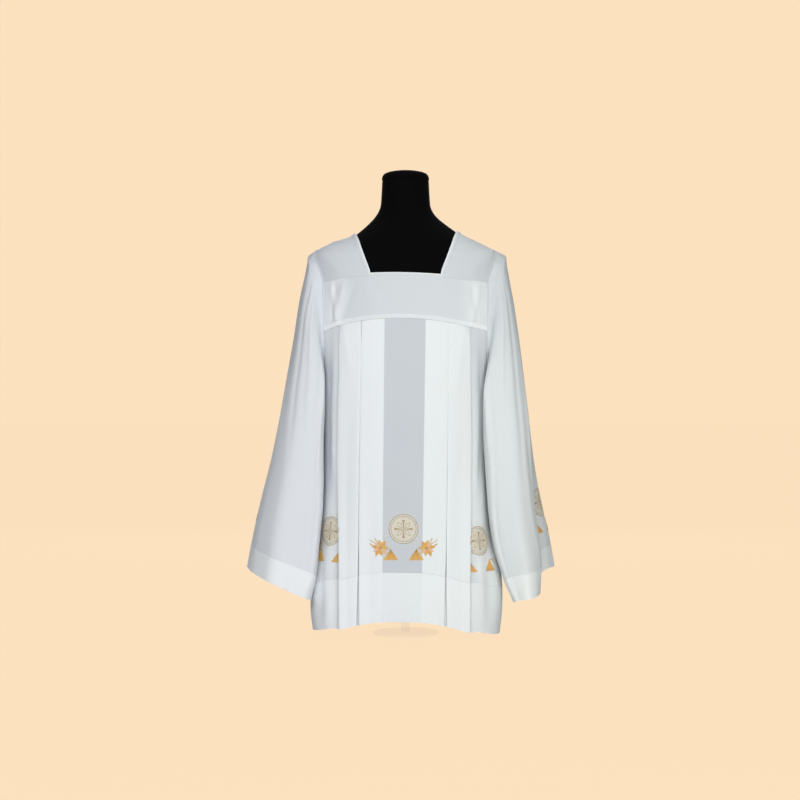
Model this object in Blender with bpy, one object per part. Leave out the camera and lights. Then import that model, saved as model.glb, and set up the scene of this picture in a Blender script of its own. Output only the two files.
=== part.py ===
"""A white surplice worn on a black limbless dress form, in metres, +Z up, front towards -Y."""

import math

import bmesh
import bpy
from mathutils import Vector

FRONT, BACK = -1, 1

# The cloth
CLOTH = 0.0012  # wall of a single layer
DOUBLE = 0.0018  # wall of a yoke, hem band or binding, where the cloth lies double
SEAM = 0.0003  # gap between two sewn pieces
ARMHOLE_SEAM = 0.0026  # from the middle of the body's cloth out to that of the sleeve at the armhole
LIFT = 0.0030  # middle of the cloth above the form where it rests on the shoulders
LIFT_FROM, LIFT_FULL = 0.770, 0.835  # heights between which the cloth comes to rest on the form

# The yoke and neckline: heights at the centre, and how far each line drops at the armhole
FRONT_NECK, BACK_NECK = 0.8150, 0.8640
FRONT_NECK_DROP, BACK_NECK_DROP = 0.0115, 0.0180
FRONT_YOKE_FOOT, BACK_YOKE_FOOT = 0.7190, 0.7640
FRONT_YOKE_FOOT_DROP, BACK_YOKE_FOOT_DROP = 0.0270, 0.0270
NECK_HALF_FRONT, NECK_HALF_RIDGE, NECK_HALF_BACK = 0.0790, 0.1120, 0.0880
BINDING = 0.0070  # width of the strip round the neckline
LEAN = -0.020  # slope of the front lines, which hang lower on the wearer's left

# The armhole, an upright oval in each side
ARMHOLE_TOP, ARMHOLE_FOOT = 0.8790, 0.6000
ARMHOLE_ANGLE = math.radians(27)  # how far it reaches round towards the front and back
ARMHOLE_FULLNESS = 0.75

# The hem
HEM_BAND = 0.1100
HEM_SIDE, HEM_LEAN = 0.0100, 0.0035
FRONT_HEM_RISE, BACK_HEM_RISE, HEM_RISE_POWER = 0.0335, 0.0180, 3.5
SLEEVE_BAND = 0.0600

# Moves the whole part sideways and back, so that its box stands centred on the origin
CENTRE_SHIFT = Vector((0.0076, 0.0016, 0))

# The form's stand
BASE_RADIUS, BASE_HEIGHT, BASE_EDGE = 0.0750, 0.0060, 0.0020
POLE_RADIUS = 0.0100

# Sections of the form, from its foot to the top of its neck
FORM_COLUMNS = ("height", "half_width", "front", "back", "power")
FORM_ROWS = (
    (0.100, 0.142, 0.086, 0.088, 2.3),
    (0.150, 0.158, 0.100, 0.104, 2.3),
    (0.240, 0.163, 0.105, 0.110, 2.3),
    (0.320, 0.160, 0.104, 0.109, 2.3),
    (0.400, 0.150, 0.099, 0.098, 2.3),
    (0.540, 0.152, 0.104, 0.091, 2.3),
    (0.700, 0.173, 0.113, 0.106, 2.3),
    (0.760, 0.185, 0.109, 0.108, 2.3),
    (0.800, 0.197, 0.104, 0.106, 2.3),
    (0.840, 0.207, 0.097, 0.101, 2.3),
    (0.860, 0.2095, 0.092, 0.097, 2.2),
    (0.872, 0.2045, 0.089, 0.094, 2.2),
    (0.880, 0.1950, 0.087, 0.092, 2.1),
    (0.889, 0.1790, 0.085, 0.089, 2.1),
    (0.898, 0.1605, 0.082, 0.086, 2.1),
    (0.908, 0.1380, 0.079, 0.082, 2.1),
    (0.918, 0.1185, 0.076, 0.079, 2.1),
    (0.929, 0.1060, 0.072, 0.075, 2.0),
    (0.942, 0.0920, 0.068, 0.070, 2.0),
    (0.955, 0.0770, 0.063, 0.065, 2.0),
    (0.968, 0.0670, 0.059, 0.062, 2.0),
    (0.985, 0.0610, 0.057, 0.060, 2.0),
    (1.042, 0.0575, 0.057, 0.060, 2.0),
)

# The cap on the neck, from its edge to its top, above its own foot
CAP_COLUMNS = ("radius", "rise")
CAP_ROWS = (
    (0.0590, 0.0000),
    (0.0600, 0.0040),
    (0.0570, 0.0100),
    (0.0450, 0.0175),
    (0.0230, 0.0240),
    (0.0000, 0.0250),
)

# Sections of the cloth where it hangs free of the form
DRAPE_ROWS = (
    (0.000, 0.2150, 0.1360, 0.1330, 2.6),
    (0.060, 0.2175, 0.1350, 0.1310, 2.6),
    (0.130, 0.2140, 0.1330, 0.1280, 2.6),
    (0.220, 0.1980, 0.1295, 0.1240, 2.6),
    (0.300, 0.1855, 0.1275, 0.1210, 2.6),
    (0.400, 0.1805, 0.1260, 0.1190, 2.6),
    (0.500, 0.1835, 0.1255, 0.1180, 2.6),
    (0.600, 0.1905, 0.1240, 0.1180, 2.6),
    (0.660, 0.1980, 0.1215, 0.1180, 2.6),
    (0.720, 0.2040, 0.1175, 0.1160, 2.5),
    (0.770, 0.2060, 0.1125, 0.1130, 2.4),
    (0.835, 0.2090, 0.1000, 0.1050, 2.3),
)

# Box pleats: their edges at the yoke and at the hem, how far the folds run under them,
# the steps across each fold and the steps between the folds
PLEAT_COLUMNS = ("name", "first_yoke", "first_hem", "last_yoke", "last_hem", "lap", "lap_steps", "steps")
FRONT_PLEATS = (
    ("right", -0.1475, -0.1435, -0.0995, -0.1075, 0.0140, 1, 1),
    ("centre", -0.0965, -0.1020, 0.0950, 0.0840, 0.0500, 2, 4),
    ("left", 0.0980, 0.0890, 0.1445, 0.1390, 0.0140, 1, 1),
)
BACK_PLEATS = (
    ("left", -0.1450, -0.1420, -0.0980, -0.0960, 0.0140, 1, 1),
    ("centre", -0.0950, -0.0910, 0.0950, 0.0930, 0.0500, 2, 4),
    ("right", 0.0980, 0.0980, 0.1450, 0.1430, 0.0140, 1, 1),
)
PLEAT_MARGIN = 0.0060  # from the outer pleats to the plain cloth beside them
LAYER_GAP_YOKE, LAYER_GAP_HEM = 0.0010, 0.0022
MIDDLE, UNDER_YOKE = 0.500, 0.660  # heights at which a distance across is turned into an angle
CORNER_CLEARANCE = 0.12  # turn of the armhole left free beside the yoke's corner
SIDE_SEAM_ANGLE = 0.0008  # half the gap between front and back at the side seam, in radians

# Rings of the sleeves from armhole to cuff, each an oval through an inner and an outer point
SLEEVE_COLUMNS = ("inner", "inner_height", "outer", "outer_height", "front", "back", "wrap")
LEFT_SLEEVE_ROWS = (
    (0.1955, 0.5860, 0.2360, 0.8700, 0.0670, 0.0650, 0.004),
    (0.1960, 0.5700, 0.2375, 0.8380, 0.0780, 0.0740, 0.010),
    (0.1955, 0.5400, 0.2500, 0.7690, 0.0890, 0.0850, 0.020),
    (0.1945, 0.4950, 0.2590, 0.6770, 0.0960, 0.0930, 0.034),
    (0.1935, 0.4350, 0.2730, 0.5850, 0.1010, 0.0990, 0.036),
    (0.1935, 0.3650, 0.2880, 0.4930, 0.1050, 0.1040, 0.034),
    (0.1970, 0.2950, 0.2990, 0.4010, 0.1080, 0.1080, 0.032),
    (0.2080, 0.2200, 0.3130, 0.3090, 0.1110, 0.1120, 0.028),
    (0.2230, 0.1450, 0.3310, 0.2170, 0.1150, 0.1160, 0.018),
    (0.2330, 0.0860, 0.3360, 0.1540, 0.1180, 0.1190, 0.006),
)
RIGHT_SLEEVE_ROWS = (
    (0.1955, 0.5860, 0.2220, 0.8680, 0.0670, 0.0650, 0.004),
    (0.1960, 0.5700, 0.2285, 0.8380, 0.0780, 0.0740, 0.010),
    (0.1955, 0.5400, 0.2400, 0.7690, 0.0890, 0.0850, 0.018),
    (0.1945, 0.4950, 0.2540, 0.6770, 0.0960, 0.0930, 0.024),
    (0.1935, 0.4350, 0.2710, 0.5850, 0.1010, 0.0990, 0.022),
    (0.1935, 0.3650, 0.2880, 0.4930, 0.1050, 0.1040, 0.020),
    (0.1970, 0.2950, 0.3060, 0.4010, 0.1080, 0.1080, 0.020),
    (0.2080, 0.2200, 0.3280, 0.3090, 0.1110, 0.1120, 0.022),
    (0.2150, 0.1450, 0.3470, 0.2170, 0.1150, 0.1160, 0.020),
    (0.2210, 0.0820, 0.3570, 0.1540, 0.1180, 0.1190, 0.016),
)
# The cuffs' edges: angle round the cuff from its outer side over the front, and the point there
CUFF_COLUMNS = ("angle", "out", "forward", "height")
LEFT_CUFF_ROWS = (
    (0, 0.294, 0.026, 0.134),
    (25, 0.304, 0.062, 0.104),
    (50, 0.296, 0.100, 0.098),
    (75, 0.272, 0.119, 0.092),
    (105, 0.248, 0.113, 0.088),
    (140, 0.236, 0.080, 0.084),
    (180, 0.235, 0.014, 0.083),
    (220, 0.241, -0.060, 0.092),
    (255, 0.264, -0.108, 0.112),
    (290, 0.304, -0.112, 0.136),
    (325, 0.348, -0.066, 0.158),
    (345, 0.330, -0.012, 0.152),
)
RIGHT_CUFF_ROWS = (
    (0, 0.362, 0.018, 0.156),
    (30, 0.347, 0.068, 0.147),
    (60, 0.306, 0.108, 0.131),
    (90, 0.268, 0.120, 0.113),
    (120, 0.231, 0.113, 0.096),
    (150, 0.2135, 0.084, 0.086),
    (180, 0.221, 0.012, 0.083),
    (215, 0.226, -0.060, 0.089),
    (250, 0.250, -0.106, 0.105),
    (285, 0.290, -0.116, 0.129),
    (320, 0.330, -0.082, 0.148),
    (345, 0.356, -0.026, 0.156),
)
CUFF_FROM, CUFF_GROWTH = 0.25, 1.6  # where the cuff's shape starts to show in the sleeve, and how fast
# Folds that run down the sleeves: angle round the ring, how wide, how deep, and where they start
FOLD_COLUMNS = ("angle", "spread", "depth", "start")
LEFT_SLEEVE_FOLDS = (
    (70, 14, 0.005, 0.20),
    (100, 13, -0.005, 0.25),
    (222, 16, 0.007, 0.35),
    (258, 16, -0.009, 0.30),
    (296, 16, 0.008, 0.35),
)
RIGHT_SLEEVE_FOLDS = (
    (38, 14, -0.006, 0.25),
    (64, 14, 0.006, 0.30),
    (96, 14, -0.006, 0.35),
    (124, 14, 0.005, 0.30),
    (226, 16, 0.007, 0.40),
    (264, 16, -0.009, 0.30),
    (306, 16, 0.009, 0.35),
)
BLEND_FROM, BLEND_FULL = -0.12, 0.26  # shares of the sleeve over which it leaves the armhole's shape
SLEEVE_POWER = 2.5  # fullness of the sleeves' ovals
BACK_WRAP = 0.5  # how much less the sleeves wrap round the back than round the front
SLEEVE_SIDES = 36
SHOULDER_LEVELS = 14  # sections of the shoulder pieces from front to back


def smooth_step(low, high, value):
    t = min(1.0, max(0.0, (value - low) / (high - low)))
    return t * t * (3 - 2 * t)


def mix(a, b, share):
    return a + (b - a) * share


def row_slopes(keys, values):
    """Slopes of a smooth curve through a table's column that never overshoots its rows."""
    steps = [(b - a) / (k1 - k0) for a, b, k0, k1 in zip(values, values[1:], keys, keys[1:])]
    slopes = [steps[0]]
    for before, after in zip(steps, steps[1:]):
        slopes.append(0.0 if before * after <= 0 else 2 * before * after / (before + after))
    return slopes + [steps[-1]]


class Table:
    """Rows of sizes, read at any height as one smooth curve for each column."""

    def __init__(self, rows, keys=None):
        self.keys = keys or [row[0] for row in rows]
        first = 0 if keys else 1
        self.columns = list(zip(*rows))[first:]
        self.slopes = [row_slopes(self.keys, column) for column in self.columns]

    def at(self, key):
        key = min(max(key, self.keys[0]), self.keys[-1])
        i = max(k for k in range(len(self.keys) - 1) if self.keys[k] <= key)
        width = self.keys[i + 1] - self.keys[i]
        t = (key - self.keys[i]) / width
        rise, fall = t * t * (3 - 2 * t), t * t * (t - 1)
        start = t * (1 - t) ** 2
        return [
            mix(column[i], column[i + 1], rise) + width * (start * slope[i] + fall * slope[i + 1])
            for column, slope in zip(self.columns, self.slopes)
        ]


FORM = Table(FORM_ROWS)
DRAPE = Table(DRAPE_ROWS)


def cloth_section(height):
    """Half width, front depth, back depth and power of the cloth's outline at a height."""
    resting = FORM.at(height - LIFT)
    lifted = [size + LIFT for size in resting[:3]] + resting[3:]
    free = DRAPE.at(height)
    share = smooth_step(LIFT_FROM, LIFT_FULL, height)
    return [mix(a, b, share) for a, b in zip(free, lifted)]


def across(height, x, face):
    """(y, outward normal) of the cloth at a height and a distance x from the centre line."""
    half, front, back, power = cloth_section(height)
    depth = front if face == FRONT else back
    ratio = min(1.0, abs(x) / half)
    share = max(0.0, 1 - ratio**power) ** (1 / power)
    normal = Vector((math.copysign(ratio ** (power - 1) / half, x), face * share ** (power - 1) / depth, 0))
    return face * depth * share, normal.normalized()


def cloth_normal(point):
    """Outward normal of the cloth's own form at a point on it."""
    def level(x, y, z):
        half, front, back, power = cloth_section(z)
        return (abs(x) / half) ** power + (abs(y) / (front if y < 0 else back)) ** power

    step = 0.0004
    slope = []
    for k in range(3):
        ahead, behind = list(point), list(point)
        ahead[k] += step
        behind[k] -= step
        slope.append(level(*ahead) - level(*behind))
    return Vector(slope).normalized()


def around(height, angle, face):
    """The cloth's point at an angle from the centre line, 90 degrees at the side seam."""
    half, front, back, power = cloth_section(height)
    depth = front if face == FRONT else back
    sine, cosine = math.sin(angle), max(0.0, math.cos(angle))
    x = math.copysign(half * abs(sine) ** (2 / power), sine)
    return Vector((x, face * depth * cosine ** (2 / power), height))


def angle_of(height, x):
    """The angle of around() that gives x at this height."""
    half, _, _, power = cloth_section(height)
    return math.asin(min(1.0, abs(x) / half) ** (power / 2))


def ridge_height(x):
    """Height of the shoulder line of the cloth at a distance x from the centre line."""
    low, high = 0.862, 1.0
    for _ in range(40):
        middle = (low + high) / 2
        if cloth_section(middle)[0] > abs(x):
            low = middle
        else:
            high = middle
    return low


def armhole_angle(turn):
    return math.pi / 2 - ARMHOLE_ANGLE * abs(math.sin(turn)) ** ARMHOLE_FULLNESS


def armhole_point(turn, side):
    """A point of the armhole: turn 0 at the shoulder, 90 degrees in front, 180 under the arm."""
    middle, half = (ARMHOLE_TOP + ARMHOLE_FOOT) / 2, (ARMHOLE_TOP - ARMHOLE_FOOT) / 2
    height = middle + half * math.cos(turn)
    face = FRONT if math.sin(turn) >= 0 else BACK
    point = around(height, armhole_angle(turn), face)
    point.x *= side
    return point


def armhole_turn(height):
    middle, half = (ARMHOLE_TOP + ARMHOLE_FOOT) / 2, (ARMHOLE_TOP - ARMHOLE_FOOT) / 2
    return math.acos(min(1.0, max(-1.0, (height - middle) / half)))


def miters(rows, closed):
    """For each point of a grid, the vector that moves it one unit off both of its faces."""
    found = []
    for i, row in enumerate(rows):
        above, below = rows[max(i - 1, 0)], rows[min(i + 1, len(rows) - 1)]
        line = []
        for j, point in enumerate(row):
            down = (below[j] - above[j]).normalized()
            last = len(row) - 1
            before = row[j - 1] if j or closed else None
            after = row[(j + 1) % len(row)] if j < last or closed else None
            normals = []
            if before is not None:
                normals.append((point - before).cross(down).normalized())
            if after is not None:
                normals.append((after - point).cross(down).normalized())
            total = sum(normals, Vector())
            line.append(total * (2 / len(normals)) / max(0.5, total.length_squared * 2 / len(normals) ** 2))
        found.append(line)
    return found


def wall(name, rows, thickness, material, closed=False, plain_ends=0):
    """A closed wall of cloth round a grid of points down its middle.

    plain_ends columns at each end lie flat on the cloth's own form.
    """
    offsets = miters(rows, closed)
    for row, line in zip(rows, offsets):
        for j, point in enumerate(row):
            if j < plain_ends or j >= len(row) - plain_ends:
                line[j] = cloth_normal(point)
    mesh = bmesh.new()
    sides = []
    for sign in (0.5, -0.5):
        sides.append(
            [
                [mesh.verts.new(p + o * (sign * thickness)) for p, o in zip(row, line)]
                for row, line in zip(rows, offsets)
            ]
        )
    outer, inner = sides
    count = len(rows[0])
    spans = range(count if closed else count - 1)
    for i in range(len(rows) - 1):
        for j in spans:
            k = (j + 1) % count
            mesh.faces.new((outer[i][j], outer[i + 1][j], outer[i + 1][k], outer[i][k]))
            mesh.faces.new((inner[i][j], inner[i][k], inner[i + 1][k], inner[i + 1][j]))
    for j in spans:
        k = (j + 1) % count
        mesh.faces.new((outer[0][j], outer[0][k], inner[0][k], inner[0][j]))
        mesh.faces.new((outer[-1][j], inner[-1][j], inner[-1][k], outer[-1][k]))
    if not closed:
        for i in range(len(rows) - 1):
            mesh.faces.new((outer[i][0], inner[i][0], inner[i + 1][0], outer[i + 1][0]))
            mesh.faces.new((outer[i][-1], outer[i + 1][-1], inner[i + 1][-1], inner[i][-1]))
    bmesh.ops.recalc_face_normals(mesh, faces=mesh.faces)
    return finished(name, mesh, material)


def finished(name, mesh, material, smooth=True):
    data = bpy.data.meshes.new(name)
    bmesh.ops.translate(mesh, verts=mesh.verts, vec=CENTRE_SHIFT)
    mesh.to_mesh(data)
    mesh.free()
    if smooth:
        data.shade_smooth()
        data.set_sharp_from_angle(angle=math.radians(40))
    data.materials.append(material)
    made = bpy.data.objects.new(name, data)
    bpy.context.scene.collection.objects.link(made)
    return made


def plain_material(name, colour, roughness, metallic=0.0):
    material = bpy.data.materials.new(name)
    material.use_nodes = True
    shader = material.node_tree.nodes["Principled BSDF"]
    shader.inputs["Base Color"].default_value = (*colour, 1)
    shader.inputs["Roughness"].default_value = roughness
    shader.inputs["Metallic"].default_value = metallic
    return material


def oriented(rows, face):
    """Rows turned round where needed, so that the wall's outer side faces out."""
    return rows if face == BACK else [row[::-1] for row in rows]


# Lines across the front and back

def neck_line(u, face):
    """Height of the seam under the neckline, u from -1 to 1 between the armholes."""
    if face == FRONT:
        return FRONT_NECK - FRONT_NECK_DROP * u * u
    return BACK_NECK - BACK_NECK_DROP * u * u


def yoke_foot(u, face):
    if face == FRONT:
        return FRONT_YOKE_FOOT - FRONT_YOKE_FOOT_DROP * u * u
    return BACK_YOKE_FOOT - BACK_YOKE_FOOT_DROP * u * u


def leaned(height, x, face):
    """The lean of the front lines, which fades out towards the armholes."""
    if face == BACK:
        return height
    return height + LEAN * x * (1 - smooth_step(0.13, 0.185, abs(x)))


def edge_x(height, face):
    """Where the armhole cuts the cloth at a height."""
    return around(height, armhole_angle(armhole_turn(height)), face).x


def hem_height(angle, face):
    rise = FRONT_HEM_RISE if face == FRONT else BACK_HEM_RISE
    lean = HEM_LEAN * (math.sin(angle) + math.sin(2 * angle))
    return HEM_SIDE + rise * max(0.0, math.cos(angle)) ** HEM_RISE_POWER - lean


def band_height(angle, face):
    return hem_height(angle, face) + HEM_BAND


# The yokes and the shoulder pieces

def yoke(name, face, material, columns=24, levels=4):
    rows = []
    for i in range(levels + 1):
        share = i / levels
        corner = mix(neck_line(1, face) - SEAM / 2, yoke_foot(1, face) + SEAM / 2, share)
        edge = edge_x(corner, face)
        row = []
        for j in range(columns + 1):
            u = -1 + 2 * j / columns
            x = u * edge
            top = leaned(neck_line(u, face), x, face) - SEAM / 2
            foot = leaned(yoke_foot(u, face), x, face) + SEAM / 2
            height = mix(top, foot, share)
            row.append(Vector((x, across(height, x, face)[0], height)))
        rows.append(row)
    return wall(name, oriented(rows, face), DOUBLE, material, plain_ends=len(rows[0]))


def neck_half(turn):
    """Half width of the neckline: turn 1 at the front corners, 0 on the shoulders, -1 at the back."""
    end = NECK_HALF_FRONT if turn > 0 else NECK_HALF_BACK
    return mix(NECK_HALF_RIDGE, end, abs(turn) ** 1.2)


def shoulder_height(x, turn, low):
    ridge = ridge_height(x)
    return ridge - (ridge - low) * (1 - math.cos(turn * math.pi / 2))


def seam_at(x, side, face):
    """Height of the neck line's seam at a distance x from the centre line."""
    edge = edge_x(neck_line(1, face), face)
    return leaned(neck_line(min(1.0, x / edge), face), side * x, face)


def shoulder_point(x, turn, side, gap=0.0, correction=0.0):
    """A point of the shoulder cloth. turn runs from 1 at the front seam over the ridge to -1 at the back."""
    face = FRONT if turn >= 0 else BACK
    height = shoulder_height(x, turn, seam_at(x, side, face) + gap) + correction
    return Vector((side * x, across(height, x, face)[0], height))


def shoulder(name, side, material, columns=6, levels=SHOULDER_LEVELS):
    rows = []
    for i in range(levels + 1):
        turn = 1 - 2 * i / levels
        face = FRONT if turn >= 0 else BACK
        seam_turn = armhole_turn(neck_line(1, face) + SEAM / 2)
        edge = armhole_point(seam_turn * turn, 1)
        near = neck_half(turn) + BINDING + SEAM
        plain = shoulder_height(edge.x, turn, seam_at(edge.x, side, face) + SEAM / 2)
        row = []
        for j in range(columns + 1):
            share = j / columns
            x = mix(near, edge.x, share)
            row.append(shoulder_point(x, turn, side, SEAM / 2, (edge.z - plain) * share * share))
        rows.append(row)
    if side > 0:
        rows = [row[::-1] for row in rows]
    return wall(name, [row[::-1] for row in rows], DOUBLE, material, plain_ends=len(rows[0]))


def neck_loop(width):
    """The neckline moved out by a width, as one closed line of points."""
    points = []
    across_count, over_count = 8, SHOULDER_LEVELS
    for j in range(across_count + 1):
        x = mix(-1, 1, j / across_count) * (NECK_HALF_FRONT + width)
        height = seam_at(abs(x), 1, FRONT) + LEAN * (x - abs(x)) + SEAM / 2 + BINDING - width
        points.append(Vector((x, across(height, x, FRONT)[0], height)))
    for side, turns in ((1, range(1, over_count)), (-1, range(over_count - 1, 0, -1))):
        line = []
        for i in turns:
            turn = 1 - 2 * i / over_count
            line.append(shoulder_point(neck_half(turn) + width, turn, side, SEAM / 2 + BINDING - width))
        if side == 1:
            points += line
            for j in range(across_count + 1):
                x = mix(1, -1, j / across_count) * (NECK_HALF_BACK + width)
                height = seam_at(abs(x), 1, BACK) + SEAM / 2 + BINDING - width
                points.append(Vector((x, across(height, x, BACK)[0], height)))
        else:
            points += line
    return points


def neck_binding(material):
    rows = [neck_loop(width) for width in (0.0, BINDING)]
    return wall("neck_binding", rows, DOUBLE, material, closed=True, plain_ends=len(rows[0]))


# The pleated front and back

def pleat_line(pleats, share):
    """Points across a pleated panel, as (x, layer): a fold runs under each pleat at both of its edges."""
    line = []
    for _, first_yoke, first_hem, last_yoke, last_hem, lap, lap_steps, steps in pleats:
        first, last = mix(first_yoke, first_hem, share), mix(last_yoke, last_hem, share)
        under_first = [first + lap * i / lap_steps for i in range(lap_steps + 1)]
        under_last = [last - lap * i / lap_steps for i in range(lap_steps + 1)]
        between = [mix(first + lap, last - lap, i / steps) for i in range(1, steps)]
        line += [(x, 0) for x in under_first[1:]]
        line += [(x, 1) for x in reversed(under_first)]
        line += [(x, 2) for x in under_first + between + under_last[::-1]]
        line += [(x, 1) for x in under_last]
        line += [(x, 0) for x in reversed(under_last[1:])]
    return line


def panel_rows(face, pleats, shares, top, foot):
    """Grid of a pleated panel or its hem band. top and foot give heights at an angle."""
    columns = list(zip(pleat_line(pleats, 0), pleat_line(pleats, 1)))
    rows = []
    for share in shares:
        row = []
        for (x_at_yoke, layer), (x_at_hem, _) in columns:
            x = x_at_yoke
            for _ in range(3):
                angle = math.copysign(angle_of(MIDDLE, x), x)
                height = mix(top(angle, x), foot(angle, x), share)
                down = min(1.0, max(0.0, 1 - height / FRONT_YOKE_FOOT))
                x = mix(x_at_yoke, x_at_hem, down)
            gap = mix(LAYER_GAP_YOKE, LAYER_GAP_HEM, down)
            y, normal = across(height, x, face)
            row.append(Vector((x, y, height)) + normal * (layer * (CLOTH + gap)))
        rows.append(side_points(row, face, share, top, foot, pleats))
    return oriented(rows, face)


def side_angles(face, pleats):
    """Angles of the plain stretch beside the pleats: down to the armhole's corner, then along its foot."""
    corner_turn = armhole_turn(yoke_foot(1, face))
    corner = armhole_angle(corner_turn)
    outermost = max(-pleats[0][1], pleats[-1][3]) + PLEAT_MARGIN
    start = angle_of(UNDER_YOKE, outermost)
    angles = [start, mix(start, corner, 0.5), corner]
    for i in range(SLEEVE_SIDES // 2):
        turn = 2 * math.pi * i / SLEEVE_SIDES
        if turn > corner_turn + CORNER_CLEARANCE:
            angles.append(armhole_angle(turn))
    return angles + [math.pi / 2 - SIDE_SEAM_ANGLE]


def side_points(row, face, share, top, foot, pleats):
    """Adds the plain stretches between the outer pleats and the side seams."""
    angles = side_angles(face, pleats)
    made = {}
    for side in (-1, 1):
        line = []
        for size in angles:
            angle = side * size
            height = mix(top(angle, None), foot(angle, None), share)
            line.append(around(height, angle, face))
        made[side] = line
    return made[-1][::-1] + row + made[1]


def panel_top(face):
    """Top edge of a panel: the yoke's foot, then the armhole down to the side seam."""
    corner = edge_x(yoke_foot(1, face), face)
    corner_angle = armhole_angle(armhole_turn(yoke_foot(1, face)))

    def top(angle, x):
        if abs(angle) > corner_angle:
            share = (math.pi / 2 - abs(angle)) / ARMHOLE_ANGLE
            turn = math.pi - math.asin(min(1.0, share ** (1 / ARMHOLE_FULLNESS)))
            return armhole_point(turn, 1).z - SEAM / 2
        height = FRONT_YOKE_FOOT
        for _ in range(4):
            place = math.copysign(around(height, abs(angle), face).x, angle) if x is None else x
            height = leaned(yoke_foot(min(1.0, abs(place) / corner), face), place, face) - SEAM / 2
        return height

    return top


def panel(name, face, pleats, material, levels=(0, 0.1, 0.26, 0.44, 0.62, 0.82, 1)):
    rows = panel_rows(
        face,
        pleats,
        levels,
        panel_top(face),
        lambda angle, x: band_height(angle, face) + SEAM / 2,
    )
    return wall(name, rows, CLOTH, material, plain_ends=len(side_angles(face, pleats)))


def hem_band(name, face, pleats, material, levels=(0, 0.5, 1)):
    rows = panel_rows(
        face,
        pleats,
        levels,
        lambda angle, x: band_height(angle, face) - SEAM / 2,
        lambda angle, x: hem_height(angle, face),
    )
    return wall(name, rows, CLOTH, material, plain_ends=len(side_angles(face, pleats)))


# The sleeves

def fold_depth(turn, share, folds):
    """How far the sleeve's folds move its wall out at an angle round it."""
    total = 0.0
    for angle, spread, depth, start in folds:
        away = (math.degrees(turn) - angle + 180) % 360 - 180
        total += depth * smooth_step(start, 1.0, share) * math.exp(-((away / spread) ** 2))
    return total


def oval_point(share, turn, table):
    """A point of the plain oval sleeve, and the way out of it."""
    inner, inner_z, outer, outer_z, front, back, wrap = table.at(share)
    cosine, sine = math.cos(turn), math.sin(turn)
    power = SLEEVE_POWER
    along = math.copysign(abs(cosine) ** (2 / power), cosine)
    forward = math.copysign(abs(sine) ** (2 / power), sine)
    depth = front if forward > 0 else back
    reach = Vector(((outer - inner) / 2, 0, (outer_z - inner_z) / 2))
    point = Vector(((inner + outer) / 2, -depth * forward, (inner_z + outer_z) / 2)) + reach * along
    inward = (1 - along) / 2
    point.x -= wrap * inward * (max(0.0, forward) ** 2 + BACK_WRAP * max(0.0, -forward) ** 2)
    return point, Vector((along * reach.length, -forward * depth, 0)).normalized()


def sleeve_ring(share, side, sleeve):
    """One ring of a sleeve: share 0 just outside the armhole, 1 at the cuff."""
    table, cuff, folds = sleeve
    grown = max(0.0, (share - CUFF_FROM) / (1 - CUFF_FROM)) ** CUFF_GROWTH
    blend = smooth_step(BLEND_FROM, BLEND_FULL, share)
    start = sleeve_start(side)
    ring = []
    for i in range(SLEEVE_SIDES):
        turn = 2 * math.pi * i / SLEEVE_SIDES
        point, out = oval_point(share, turn, table)
        cuff_out, cuff_forward, cuff_height = cuff.at(math.degrees(turn))
        point += (Vector((cuff_out, -cuff_forward, cuff_height)) - oval_point(1, turn, table)[0]) * grown
        point += out * fold_depth(turn, share, folds)
        point.x *= side
        ring.append(start[i].lerp(point, blend))
    return ring


def sleeve_start(side):
    """The ring along the armhole, just clear of the pieces that it is sewn to."""
    ring = []
    for i in range(SLEEVE_SIDES):
        point = armhole_point(2 * math.pi * i / SLEEVE_SIDES, side)
        ring.append(point + cloth_normal(point) * ARMHOLE_SEAM)
    return ring


def sleeve_parts(name, side, sleeve_rows, cuff_rows, folds, material, band_material):
    """A sleeve and the deep hem band at its cuff."""
    count = len(sleeve_rows)
    table = Table(sleeve_rows, keys=[i / (count - 1) for i in range(count)])
    cuff = Table(cuff_rows + ((360,) + cuff_rows[0][1:],))
    sleeve = (table, cuff, folds)
    front, last_stretch = SLEEVE_SIDES // 4, 0.15
    ends = [sleeve_ring(share, side, sleeve)[front] for share in (1 - last_stretch, 1.0)]
    length = (ends[1] - ends[0]).length / last_stretch
    band_start = 1 - SLEEVE_BAND / length
    step = SEAM / 2 / length
    shares = (0.07, 0.16, 0.28, 0.42, 0.56, 0.70, 0.82, band_start - step)
    rows = [sleeve_start(side)] + [sleeve_ring(share, side, sleeve) for share in shares]
    band = [sleeve_ring(share, side, sleeve) for share in (band_start + step, (1 + band_start) / 2, 1.0)]
    if side < 0:
        rows = [row[::-1] for row in rows]
        band = [row[::-1] for row in band]
    wall(name, rows, CLOTH, material, closed=True)
    wall(name + "_band", band, DOUBLE, band_material, closed=True)


# The form and its stand

def form_torso(material, sides=36):
    mesh = bmesh.new()
    rings = []
    heights = [row[0] for row in FORM_ROWS]
    for height in heights:
        half, front, back, power = FORM.at(height)
        ring = []
        for i in range(sides):
            turn = 2 * math.pi * i / sides
            sine, cosine = math.sin(turn), math.cos(turn)
            depth = front if cosine > 0 else back
            x = math.copysign(half * abs(sine) ** (2 / power), sine)
            y = -math.copysign(depth * abs(cosine) ** (2 / power), cosine)
            ring.append(mesh.verts.new((x, y, height)))
        rings.append(ring)
    for low, high in zip(rings, rings[1:]):
        for i in range(sides):
            j = (i + 1) % sides
            mesh.faces.new((low[i], low[j], high[j], high[i]))
    mesh.faces.new(rings[0])
    mesh.faces.new(rings[-1])
    bmesh.ops.recalc_face_normals(mesh, faces=mesh.faces)
    return finished("form_torso", mesh, material)


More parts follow.
